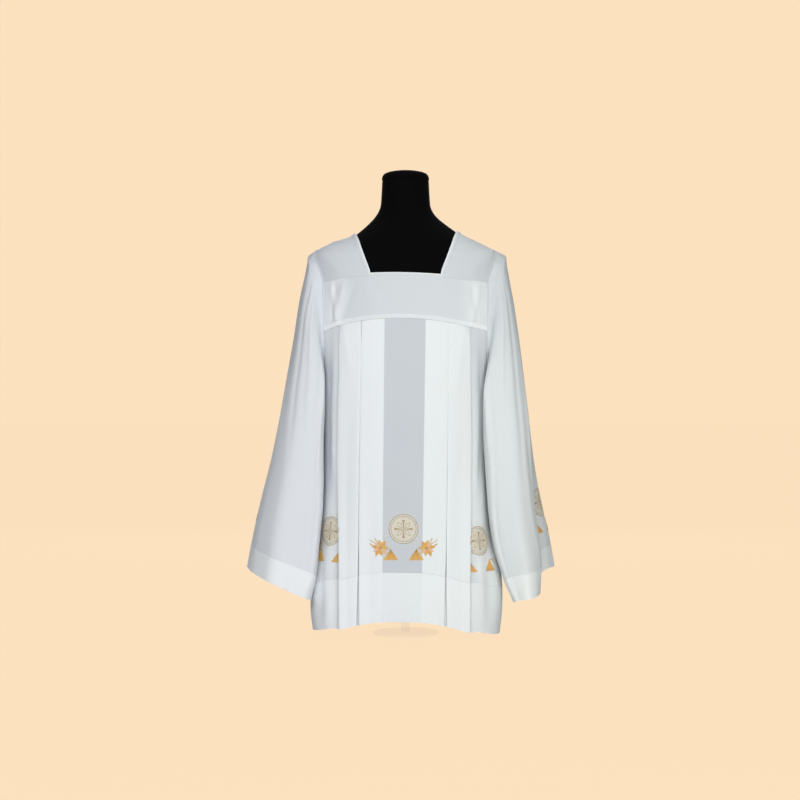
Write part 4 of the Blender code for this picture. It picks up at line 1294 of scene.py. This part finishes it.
def makeSleeve(name, node, side):
    sizes = sleeveSizes
    turn = np.linspace(0, 2 * math.pi, sizes["sides"], endpoint=False)[None, :]
    reach = sleevePoints(np.array([1 - sizes["measured"], 1.0]), np.array([math.pi / 2] * 2), side)
    length = float(np.linalg.norm(reach[1] - reach[0])) / sizes["measured"]
    bandStart, gap = 1 - sizes["band"] / length, seamGap / 2 / length
    first = np.append(0.0, np.linspace(sizes["firstRow"], bandStart - gap, sizes["levels"]))[:, None]
    second = np.linspace(bandStart + gap, 1.0, sizes["bandLevels"])[:, None]
    flip = (lambda rows: rows[:, ::-1]) if side == right else (lambda rows: rows)
    lapRows = [armholeLap(turn, side, *row) for row in sizes["lapRows"]]
    body = flip(np.concatenate(lapRows + [sleevePoints(first, turn, side)]))
    head, middle, foot = sizes["tones"][side]
    upper, lower = sizes["toneSpans"]
    down = np.concatenate([np.zeros((len(lapRows), 1)), first])
    tone = mix(mix(head, middle, smoothStep(*upper, down)), foot, smoothStep(*lower, down))
    # painted shade along the strips of the sleeve that turn away from the lamps
    for angle, spread, darker, start, end in sizes["shades"][side]:
        fades = sizes["shadeFades"]
        lasting = smoothStep(start, start + fades, down) * smoothStep(end, end - fades, down)
        tone = tone - darker * np.exp(-((turnFrom(flip(turn), angle) / spread) ** 2)) * lasting
    makeCloth(name, node, "single", body, tone, closed=True)
    band = flip(sleevePoints(second, turn, side))
    makeCloth(name + "Band", node + "_band", "doubled", band, sizes["bandTone"], closed=True)
    return bandStart


cuffStarts = {
    left: makeSleeve("leftSleeve", "left_sleeve", left),
    right: makeSleeve("rightSleeve", "right_sleeve", right),
}


# Needlework: threads laid on the finished cloth

def clothTree(name):
    mesh = clothPieces[name].data
    return BVHTree.FromPolygons([v.co for v in mesh.vertices], [tuple(p.vertices) for p in mesh.polygons])


shift = Vector(partShift)
needleSizes = {
    "from": 0.12,  # how far out the way to the cloth starts
    "reach": 0.3,
    "facing": 0.42,  # no thread lies where the cloth faces the work less than this
    "clear": 0.0001,
    "profile": (  # across half a stroke's width, and the share of its height
        (-1.0, 0.05),
        (-0.72, 0.85),
        (-0.34, 1.0),
        (0.0, 1.0),
        (0.34, 1.0),
        (0.72, 0.85),
        (1.0, 0.05),
        (0.8, -0.5),
        (-0.8, -0.5),
    ),
}


class Needlework:
    # strokes of thread drawn flat as (u, v) in metres, settled on a cloth along the way that faces it
    def __init__(self, tree, origin, out):
        self.tree = tree
        self.out = Vector(out).normalized()
        self.origin = Vector(origin) + shift
        self.across = Vector((0, 0, 1)).cross(self.out).normalized()
        self.up = self.out.cross(self.across).normalized()
        self.vertices, self.faces, self.lay, self.kinds = [], [], [], []
        self.moved, self.flipped = (0.0, 0.0), 1
        self.beyond = lambda place: False  # where another layer of cloth covers the work

    def settled(self, u, v):
        start = self.origin + self.across * u + self.up * v + self.out * needleSizes["from"]
        place, normal, _, _ = self.tree.ray_cast(start, -self.out, needleSizes["reach"])
        if place is None or abs(normal.dot(self.out)) < needleSizes["facing"]:
            return None, None
        return place, normal if normal.dot(self.out) > 0 else -normal

    def ringAt(self, place, way, half, height, vein):
        # one ring of a stroke's points, or none where some of them find no cloth
        ring = []
        for off, rise in needleSizes["profile"]:
            spot, normal = self.settled(place[0] - way[1] * off * half, place[1] + way[0] * off * half)
            if spot is None or self.beyond(spot - shift):
                return None
            rise = rise - vein if off == 0 else rise
            ring.append((spot + normal * (needleSizes["clear"] + rise * height) - shift, off * half))
        return ring[:: self.flipped]

    def stroke(self, path, widths, height, kind, vein=0.0):
        # vein > 0 sinks the middle of the stroke, as between two rows of satin stitch
        path = [(self.moved[0] + self.flipped * u, self.moved[1] + v) for u, v in path]
        runs, walked = [[]], 0.0
        for i, place in enumerate(path):
            before, after = path[max(0, i - 1)], path[min(len(path) - 1, i + 1)]
            du, dv = after[0] - before[0], after[1] - before[1]
            length = math.hypot(du, dv) or 1.0
            walked += math.dist(place, before)
            ring = self.ringAt(place, (du / length, dv / length), widths[i] / 2, height, vein)
            if ring is None:
                runs.append([])  # the thread passes under and comes up again further on
            else:
                runs[-1].append([(spot, (off, walked, 0.0)) for spot, off in ring])
        for rings in runs:
            if len(rings) > 1:
                self.laid(rings, kind)

    def laid(self, rings, kind):
        first, count = len(self.vertices), len(rings[0])
        for ring in rings:
            self.vertices += [spot for spot, _ in ring]
            self.lay += [lay for _, lay in ring]
        last = len(self.vertices) - count
        for start in range(first, last, count):
            for k in range(count):
                j = (k + 1) % count
                self.faces.append((start + k, start + count + k, start + count + j, start + j))
                self.kinds.append(kind)
        self.faces += [tuple(range(first, first + count)), tuple(range(last + count - 1, last - 1, -1))]
        self.kinds += [kind, kind]

    def line(self, start, end, width, height, kind, bend=0.0, taper=0.5, steps=9):
        du, dv = end[0] - start[0], end[1] - start[1]
        path, widths = [], []
        for i in range(steps):
            share = i / (steps - 1)
            swing = bend * math.sin(math.pi * share)
            u, v = mix(start[0], end[0], share), mix(start[1], end[1], share)
            path.append((u - dv * swing, v + du * swing))
            widths.append(width * mix(1.0, taper, share))
        self.stroke(path, widths, height, kind)

    def leaf(self, base, angle, length, width, height, kind, bend=0.0, vein=0.45):
        du, dv = toward(angle, 1.0)
        path, widths = [], []
        for i in range(13):
            share = i / 12
            along, swing = length * share, bend * length * math.sin(math.pi * share)
            path.append((base[0] + du * along - dv * swing, base[1] + dv * along + du * swing))
            fullness = math.sin(math.pi * share**0.8) ** 0.8 * (1 - 0.25 * share)
            widths.append(max(0.0003, width * fullness))
        self.stroke(path, widths, height, kind, vein)

    def ring(self, radius, width, height, kind, steps=56):
        path = [toward(2 * math.pi * i / steps, radius) for i in range(steps + 1)]
        self.stroke(path, [width] * len(path), height, kind)

    def finished(self, name):
        vertices = np.array([tuple(v) for v in self.vertices])
        objectFrom(name, vertices, self.faces, np.array(self.lay), needleThreads, self.kinds)
        print(name, "sewn,", len(self.faces), "faces")


def toward(angle, reach):
    return (math.cos(angle) * reach, math.sin(angle) * reach)


motif = {
    "radius": 0.0322,
    "height": 0.0007,
    "rings": (  # how far inside the radius, width, share of the height, thread
        (0.0000, 0.0013, 1.0, bronze),
        (0.0024, 0.0030, 0.8, cream),
        (0.0046, 0.0008, 0.9, bronze),
    ),
    "field": {"inside": 0.0066, "pitch": 0.0023, "least": 0.0012, "height": 0.45, "stepsInMetre": 1700},
    "arms": {"reach": (0.0010, 0.0200), "widths": (0.0018, 0.0070), "growth": 2.4, "height": 1.1},
    "armVein": 0.3,
    "openLeaves": {"reach": (0.0040, 0.0205), "width": 0.0010, "swings": (-0.22, 0.22)},
    "rays": {"count": 24, "gap": 0.0032, "long": 0.0145, "short": 0.0085, "width": 0.0019, "height": 0.6},
    "starAt": (0.0510, -0.0420),  # from the medallion's middle, to the wearer's left
    "fanAt": (0.0285, -0.0445),
    "fanDrop": 0.0240,
    "fanWidth": 0.0330,
    "fanBlades": 7,
    "petalWidth": 0.0102,
    "petals": (  # way it points in radians, length, thread
        (1.35, 0.0170, gold),
        (0.72, 0.0160, pale),
        (0.10, 0.0180, orange),
        (-0.50, 0.0165, pale),
        (-1.05, 0.0200, orange),
        (-1.75, 0.0165, gold),
        (-2.45, 0.0185, pale),
        (3.00, 0.0160, gold),
        (2.15, 0.0175, orange),
    ),
    "petalsFrom": 0.0015,
    "earsFrom": 0.0120,
    "ears": ((0.60, 0.0300, 0.10), (0.98, 0.0240, 0.16), (0.30, 0.0250, -0.10)),  # way, length, bend
    "earWidth": 0.0012,
    "grains": (0.30, 0.55, 0.80),  # shares of an ear's length
    "grainSize": (0.0052, 0.0022),
    "heart": (6, 0.0046, 0.0026),  # small leaves in the star's middle, their length and width
    "stems": (  # start, end, width, share of the height, bend, taper
        ((0.0, 0.0), (0.0150, 0.0050), 0.0016, 1.0, -0.1, 0.8),
        ((0.0, 0.0005), (-0.0120, -0.0140), 0.0012, 0.8, 0.2, 0.6),
    ),
}


def medallion(work):
    # rings round a field of thread, a cross with widening arms, open leaves between them and rays outside
    r, height = motif["radius"], motif["height"]
    for inside, width, share, kind in motif["rings"]:
        work.ring(r - inside, width, height * share, kind)
    field = motif["field"]
    radius = r - field["inside"]
    while radius > field["least"]:
        steps = max(12, int(radius * field["stepsInMetre"]))
        work.ring(radius, field["pitch"], height * field["height"], cream, steps)
        radius -= field["pitch"]
    arms, leaves, rays = motif["arms"], motif["openLeaves"], motif["rays"]
    widths = [mix(*arms["widths"], (i / 9) ** arms["growth"]) for i in range(10)]
    for k in range(4):
        angle = math.pi / 2 * k
        path = [toward(angle, reach) for reach in np.linspace(*arms["reach"], len(widths))]
        work.stroke(path, widths, height * arms["height"], bronze, motif["armVein"])
        start, end = (toward(angle + math.pi / 4, reach) for reach in leaves["reach"])
        for swing in leaves["swings"]:
            work.line(start, end, leaves["width"], height, bronze, swing, 1.0, 11)
    for k in range(rays["count"]):
        angle = 2 * math.pi * (k + 0.5) / rays["count"]
        reach = r + rays["long" if k % 3 == 1 else "short"]
        start, end = toward(angle, r + rays["gap"]), toward(angle, reach)
        work.line(start, end, rays["width"], height * rays["height"], cream, 0, 0.5, 5)


def starOfLeaves(work):
    height = motif["height"]
    for angle, length, kind in motif["petals"]:
        base = toward(angle, motif["petalsFrom"])
        work.leaf(base, angle, length, motif["petalWidth"], height * 1.3, kind, 0.05)
    count, length, width = motif["heart"]
    for k in range(count):
        angle = k * 2 * math.pi / count + 0.3
        work.leaf((0.0, 0.0), angle, length, width, height * 2.2, bronze if k % 2 else gold, 0.0, 0.2)
    for angle, length, bend in motif["ears"]:
        start, end = toward(angle, motif["earsFrom"]), toward(angle, length)
        work.line(start, end, motif["earWidth"], height * 0.8, bronze, bend, 0.4)
        for share in motif["grains"]:
            grain = (mix(start[0], end[0], share), mix(start[1], end[1], share))
            work.leaf(grain, angle + 0.45, *motif["grainSize"], height, gold, 0.0, 0.2)


def fanOfLeaves(work):
    # its blades end on one level line, and stems lead away from its top
    height, count = motif["height"], motif["fanBlades"]
    blade, shares = motif["fanWidth"] / count, np.linspace(0.04, 1.0, 12)
    widths = [max(0.0006, blade * 1.04 * share) for share in shares]
    for k in range(count):
        aim = (k - (count - 1) / 2) * blade
        path = [(aim * share, -motif["fanDrop"] * share) for share in shares]
        work.stroke(path, widths, height * 1.3, orange if k % 3 == 1 else gold, 0.35)
    for start, end, width, share, bend, taper in motif["stems"]:
        work.line(start, end, width, height * share, bronze, bend, taper)
    work.leaf((0.0085, 0.0020), -0.95, 0.0115, 0.0044, height, gold, 0.1)


def spray(work, way, starred):
    # a fan, and a star where the cloth has room for it, on one side of the medallion
    work.flipped = way
    stars = ((starOfLeaves, "starAt"),) if starred else ()
    for sewn, place in stars + ((fanOfLeaves, "fanAt"),):
        work.moved = (way * motif[place][0], motif[place][1])
        sewn(work)
    work.moved, work.flipped = (0.0, 0.0), 1


def embroider(name, cloth, origin, out, starred=True, edge=None):
    # edge is the x that the work stops at, beside the pleat that lies over it
    work = Needlework(clothTree(cloth), origin, out)
    if edge is not None:
        work.beyond = lambda place: abs(place.x) < edge
    medallion(work)
    for way in (left, right):
        spray(work, way, starred)
    work.finished(name)


embroider("frontEmbroidery", "pleatedFront", (-0.0044, -0.136, 0.2500), (0, -1, 0))
embroider("rightSideEmbroidery", "pleatedFront", (-0.1705, -0.085, 0.2420), (-0.80, -0.60, 0), True, 0.1475)
embroider("leftSideEmbroidery", "pleatedFront", (0.1640, -0.090, 0.2205), (0.80, -0.60, 0), False, 0.1440)
embroider("leftSleeveEmbroidery", "leftSleeve", (0.3120, 0.020, 0.3020), (1.0, 0.12, 0.12))
embroider("rightSleeveEmbroidery", "rightSleeve", (-0.3200, 0.055, 0.3020), (-1.0, 0.45, 0.16))


# Sewing: rows of stitches along the turned edges

stitchSizes = {
    "pitch": 0.0034,
    "length": 0.0025,
    "thickness": 0.00042,
    "from": 0.03,  # how far out the way to the cloth starts
    "sections": ((-0.5, 0.35), (-0.3, 1.0), (0.3, 1.0), (0.5, 0.35)),  # share of the length, of the width
    "profile": ((-1, -0.6), (-0.6, 0.9), (0.6, 0.9), (1, -0.6)),
    "yokeRows": (("yokeFoot", 0.0020), ("yokeFoot", 0.0078), ("neck", -0.0022)),  # line, height above it
    "yokeReach": 0.985,  # share of the way to the armholes
    "hemReach": 1.555,  # radians from the middle, close to the side seams
    "widestGap": 0.02,
    "belowHemTop": 0.0026,
    "intoBinding": 0.72,
    "intoBand": 0.006,
}


class Seamster:
    def __init__(self):
        self.vertices, self.faces, self.lay = [], [], []

    def row(self, tree, places, ways):
        # settles a line of places on the cloth and sews evenly along it
        settled = []
        for place, way in zip(places, ways):
            way = Vector(way)
            start = Vector(place + partShift) + way * stitchSizes["from"]
            hit, normal, _, _ = tree.ray_cast(start, -way, stitchSizes["from"] * 2)
            if hit is not None:
                settled.append((hit, normal if normal.dot(way) > 0 else -normal))
        walked, due = 0.0, 0.0
        for (a, normal), (b, _) in zip(settled, settled[1:]):
            gap = (b - a).length
            if 0 < gap < stitchSizes["widestGap"]:
                while due <= walked + gap:
                    self.stitch(a.lerp(b, (due - walked) / gap), (b - a).normalized(), normal)
                    due += stitchSizes["pitch"]
            walked += gap
            due = max(due, walked)

    def stitch(self, middle, way, normal):
        size, thick = stitchSizes["length"], stitchSizes["thickness"]
        across = way.cross(normal).normalized()
        first = len(self.vertices)
        for along, width in stitchSizes["sections"]:
            for u, v in stitchSizes["profile"]:
                off = (across * u + normal * v) * (width * thick / 2)
                self.vertices.append(middle + way * (along * size) + off - shift)
                self.lay.append((u * thick, along * size, 0.0))
        for ring in range(3):
            for k in range(4):
                j, low = (k + 1) % 4, first + ring * 4
                self.faces.append((low + k, low + 4 + k, low + 4 + j, low + j))
        self.faces += [tuple(range(first, first + 4)), tuple(range(first + 15, first + 11, -1))]

    def finished(self, name):
        vertices = np.array([tuple(v) for v in self.vertices])
        made = objectFrom(name, vertices, self.faces, np.array(self.lay), [sewingThread])
        print(name, "sewn,", len(self.faces), "faces")


def sewYoke(name, face):
    work, tree = Seamster(), clothTree(name)
    edge = float(edgeX(bodyLine("yokeFoot", 1, face), face))
    u = np.linspace(-1, 1, 260) * stitchSizes["yokeReach"]
    for line, rise in stitchSizes["yokeRows"]:
        height = leaned(bodyLine(line, u, face), u * edge, face) + rise
        y, normal = across(height, u * edge, face)
        work.row(tree, points(u * edge, y, height), normal)
    work.finished(name + "Stitching")


def sewHem(name, face):
    work = Seamster()
    angle = np.linspace(-1, 1, 640) * stitchSizes["hemReach"]
    height = hemHeight(angle, face) + bodySizes["hemBand"] - stitchSizes["belowHemTop"]
    place = around(height, angle, face)
    work.row(clothTree(name), place, across(height, place[:, 0], face)[1])
    work.finished(name + "Stitching")


def sewBinding(name):
    work = Seamster()
    loop = neckLoop(bodySizes["binding"] * stitchSizes["intoBinding"])
    loop = np.concatenate([loop, loop[:1]])
    work.row(clothTree(name), loop, clothNormal(loop))
    work.finished(name + "Stitching")


def sewSleeve(name, side):
    work = Seamster()
    turn = np.linspace(0, 2 * math.pi, 420)
    share = cuffStarts[side] + stitchSizes["intoBand"]
    place = sleevePoints(share, turn, side)
    ahead, later = sleevePoints(share, turn + 0.01, side), sleevePoints(share + 0.01, turn, side)
    way = unit(np.cross(ahead - place, later - place))
    middle = place.mean(0)
    way *= np.sign(((place - middle) * way).sum(-1).sum())
    work.row(clothTree(name + "Band"), place, way)
    work.finished(name + "BandStitching")


sewYoke("frontYoke", front)
sewYoke("backYoke", back)
sewHem("frontHemBand", front)
sewHem("backHemBand", back)
sewBinding("neckBinding")
sewSleeve("leftSleeve", left)
sewSleeve("rightSleeve", right)


# The dress form

def ringFaces(levels, count):
    # rings of points above each other, joined by quads
    grid = np.arange(levels * count).reshape(levels, count)
    following = np.roll(grid, -1, 1)
    quads = np.stack([grid[:-1], following[:-1], following[1:], grid[1:]], -1)
    return grid.tolist(), quads.reshape(-1, 4).tolist()


def makeFormPiece(name, node, vertices, faces, lay):
    made = objectFrom(name, vertices, faces, lay, [blackJersey])
    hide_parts(node)


def makeTorso():
    sizes = formSizes
    low, high = sizes["rows"][0][0], sizes["rows"][-1][0]
    heights = np.linspace(low, high, int((high - low) / sizes["levelStep"]))[:, None]
    turn = np.linspace(0, 2 * math.pi, sizes["sides"] * 2, endpoint=False)[None, :]
    half, frontDepth, backDepth, power = formCurves.at(heights)
    slim = sizes["neckSlim"] * smoothStep(*sizes["slimFrom"], heights)
    sine, cosine = np.sin(turn), np.cos(turn)
    depth = np.where(cosine > 0, frontDepth - slim, backDepth - slim)
    narrower = 1.0
    for seam in sizes["seamTurns"]:
        fromSeam = turnFrom(turn, seam) / sizes["grooveSpread"]
        narrower = narrower - sizes["seamGroove"] * np.exp(-(fromSeam**2))
    x = np.copysign((half - slim) * np.abs(sine) ** (2 / power), sine) * narrower
    y = -np.copysign(depth * np.abs(cosine) ** (2 / power), cosine) * narrower
    rows = easedNeck(points(x, y, heights))
    grid, faces = ringFaces(*rows.shape[:2])
    faces += [grid[0][::-1], grid[-1]]
    lay = points(turn * sizes["layRadius"], heights, 0.0)
    makeFormPiece("formTorso", "form_torso", rows.reshape(-1, 3), faces, lay.reshape(-1, 3))


def makeNeckCap():
    foot = formSizes["rows"][-1][0] + seamGap
    profile = np.array(formSizes["capRows"])
    ring = np.linspace(0, 2 * math.pi, 96, endpoint=False)[None, :]
    radius, rise = profile[:-1, :1], profile[:-1, 1:]
    places = points(radius * np.cos(ring), radius * np.sin(ring), foot + rise)
    grid, faces = ringFaces(*places.shape[:2])
    crown = places.shape[0] * places.shape[1]
    faces += [(a, b, crown) for a, b in zip(grid[-1], grid[-1][1:] + grid[-1][:1])]
    faces.append(grid[0][::-1])
    vertices = np.concatenate([places.reshape(-1, 3), [(0.0, 0.0, foot + profile[-1, 1])]])
    makeFormPiece("formNeckCap", "form_neck_cap", vertices, faces, vertices)


makeTorso()
makeNeckCap()
for node in ("form_base", "form_pole"):
    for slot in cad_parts[node].material_slots:
        slot.material = clearAcrylic
print("dress form made")


# The cut of each piece of cloth, before it was folded and sewn

clothCuts = (  # piece, width, length, flat area, held, rests on, sewn on it
    ("pleatedFront", 0.980, 0.600, 0.512, "hung", ("frontYoke",),
     ("frontEmbroidery", "rightSideEmbroidery", "leftSideEmbroidery")),
    ("pleatedBack", 1.000, 0.640, 0.548, "hung", ("backYoke",), ()),
    ("frontHemBand", 0.980, 0.110, 0.106, "hung", ("pleatedFront",), ("frontHemBandStitching",)),
    ("backHemBand", 0.970, 0.110, 0.105, "hung", ("pleatedBack",), ("backHemBandStitching",)),
    ("frontYoke", 0.410, 0.110, 0.041, "draped", ("formTorso",), ("frontYokeStitching",)),
    ("backYoke", 0.410, 0.110, 0.043, "draped", ("formTorso",), ("backYokeStitching",)),
    ("leftShoulder", 0.125, 0.245, 0.025, "draped", ("formTorso",), ()),
    ("rightShoulder", 0.125, 0.245, 0.025, "draped", ("formTorso",), ()),
    ("neckBinding", 0.940, 0.010, 0.008, "draped", ("formTorso",), ("neckBindingStitching",)),
    ("leftSleeve", 0.640, 0.620, 0.317, "hung", ("leftShoulder",), ("leftSleeveEmbroidery",)),
    ("rightSleeve", 0.640, 0.610, 0.310, "hung", ("rightShoulder",), ("rightSleeveEmbroidery",)),
    ("leftSleeveBand", 0.620, 0.055, 0.031, "hung", ("leftSleeve",), ("leftSleeveBandStitching",)),
    ("rightSleeveBand", 0.660, 0.058, 0.035, "hung", ("rightSleeve",), ("rightSleeveBandStitching",)),
)
for name, width, length, area, held, rests, sewn in clothCuts:
    sewn = [bpy.data.objects[piece] for piece in sewn]


# Floor, light and camera

studio = {
    "backdrop": (0.973, 0.754, 0.521),
    "floorGlow": 0.985,
    "floorHalf": 90,
    "floorGap": 0.0005,
    "surround": 0.28,
    "surroundColour": (0.965, 0.985, 1.0),
    "lights": (  # name, place, aimed at, width and height, power, colour
        ("keyLight", (-0.6, -3.3, 1.4), (0.0, 0.0, 0.5), (1.2, 1.0), 42, (0.975, 0.99, 1.0)),
        ("fillLight", (1.0, -3.1, 0.7), (0.0, 0.0, 0.2), (1.2, 1.0), 37, (0.985, 1.0, 0.99)),
        ("topLight", (0.1, 0.6, 2.6), (0.0, 0.0, 0.5), (1.6, 1.2), 8, (1.0, 0.99, 0.97)),
        ("backLight", (-0.9, 3.3, 1.5), (0.0, 0.0, 0.5), (1.4, 1.2), 36, (0.985, 0.995, 1.0)),
        ("backLight", (0.9, 3.3, 1.5), (0.0, 0.0, 0.5), (1.4, 1.2), 36, (0.985, 0.995, 1.0)),
    ),
    "cameraDistance": 3.8,
    "cameraHeight": 0.50,
    "sensor": 36,
    "metresPerPixel": 0.0023,
    "picturePixels": 800,
    "middlePixel": 405.5,
    "floorPixel": 632,
    "hemAboveFloor": 0.004,
}


def makeSurround():
    # a pale room for the light, and the plain backdrop where the camera looks
    world = bpy.data.worlds.new("paleStudio")
    bpy.context.scene.world = world
    world.use_nodes = True
    nodes, links = world.node_tree.nodes, world.node_tree.links
    plain = nodes["Background"]
    plain.inputs["Color"].default_value = (*studio["surroundColour"], 1)
    plain.inputs["Strength"].default_value = studio["surround"]
    seen = nodes.new("ShaderNodeBackground")
    seen.inputs["Color"].default_value = (*studio["backdrop"], 1)
    path = nodes.new("ShaderNodeLightPath")
    blend = nodes.new("ShaderNodeMixShader")
    links.new(path.outputs["Is Camera Ray"], blend.inputs["Fac"])
    links.new(plain.outputs[0], blend.inputs[1])
    links.new(seen.outputs[0], blend.inputs[2])
    links.new(blend.outputs[0], nodes["World Output"].inputs["Surface"])


def makeFloor():
    mesh, wide = bpy.data.meshes.new("studioFloor"), studio["floorHalf"]
    corners = [(-wide, -wide, 0), (wide, -wide, 0), (wide, wide, 0), (-wide, wide, 0)]
    mesh.from_pydata(corners, [], [(0, 1, 2, 3)])
    floor = bpy.data.objects.new("studioFloor", mesh)
    floor.location.z = -studio["floorGap"]
    bpy.context.scene.collection.objects.link(floor)
    finish = Finish("paleFloor")
    mesh.materials.append(finish.surface({
        "Base Color": finish.mix(finish.noise(3.0), (0.016, 0.012, 0.008), (0.018, 0.014, 0.009)),
        "Roughness": 0.95,
        "Specular IOR Level": 0.0,
        "Emission Color": studio["backdrop"],
        "Emission Strength": studio["floorGlow"],
    }))
    floor.visible_diffuse = False
    floor.visible_glossy = False


def makeLights():
    for name, place, aim, size, power, colour in studio["lights"]:
        data = bpy.data.lights.new(name, "AREA")
        data.shape = "RECTANGLE"
        data.size, data.size_y = size
        data.energy = power
        data.color = colour
        lamp = bpy.data.objects.new(name, data)
        lamp.location = place
        lamp.rotation_euler = (Vector(aim) - Vector(place)).to_track_quat("-Z", "Y").to_euler()
        bpy.context.scene.collection.objects.link(lamp)


def makeCamera():
    # level, in front of the form's middle, and shifted so that the floor and middle fall as in the picture
    scene, pixels = bpy.context.scene, studio["picturePixels"]
    data = bpy.data.cameras.new("photoCamera")
    camera = bpy.data.objects.new("photoCamera", data)
    camera.location = (partShift[0], partShift[1] - studio["cameraDistance"], studio["cameraHeight"])
    camera.rotation_euler = (math.radians(90), 0, 0)
    data.sensor_width = studio["sensor"]
    data.lens = studio["sensor"] * studio["cameraDistance"] / (pixels * studio["metresPerPixel"])
    data.shift_x = (pixels / 2 - studio["middlePixel"]) / pixels
    rise = (studio["cameraHeight"] - studio["hemAboveFloor"]) / studio["metresPerPixel"]
    data.shift_y = ((studio["floorPixel"] - pixels / 2) - rise) / pixels
    scene.collection.objects.link(camera)
    scene.camera = camera
    scene.view_settings.view_transform = "Standard"
    scene.view_settings.look = "None"


makeSurround()
makeFloor()
makeLights()
makeCamera()
print("studio made")
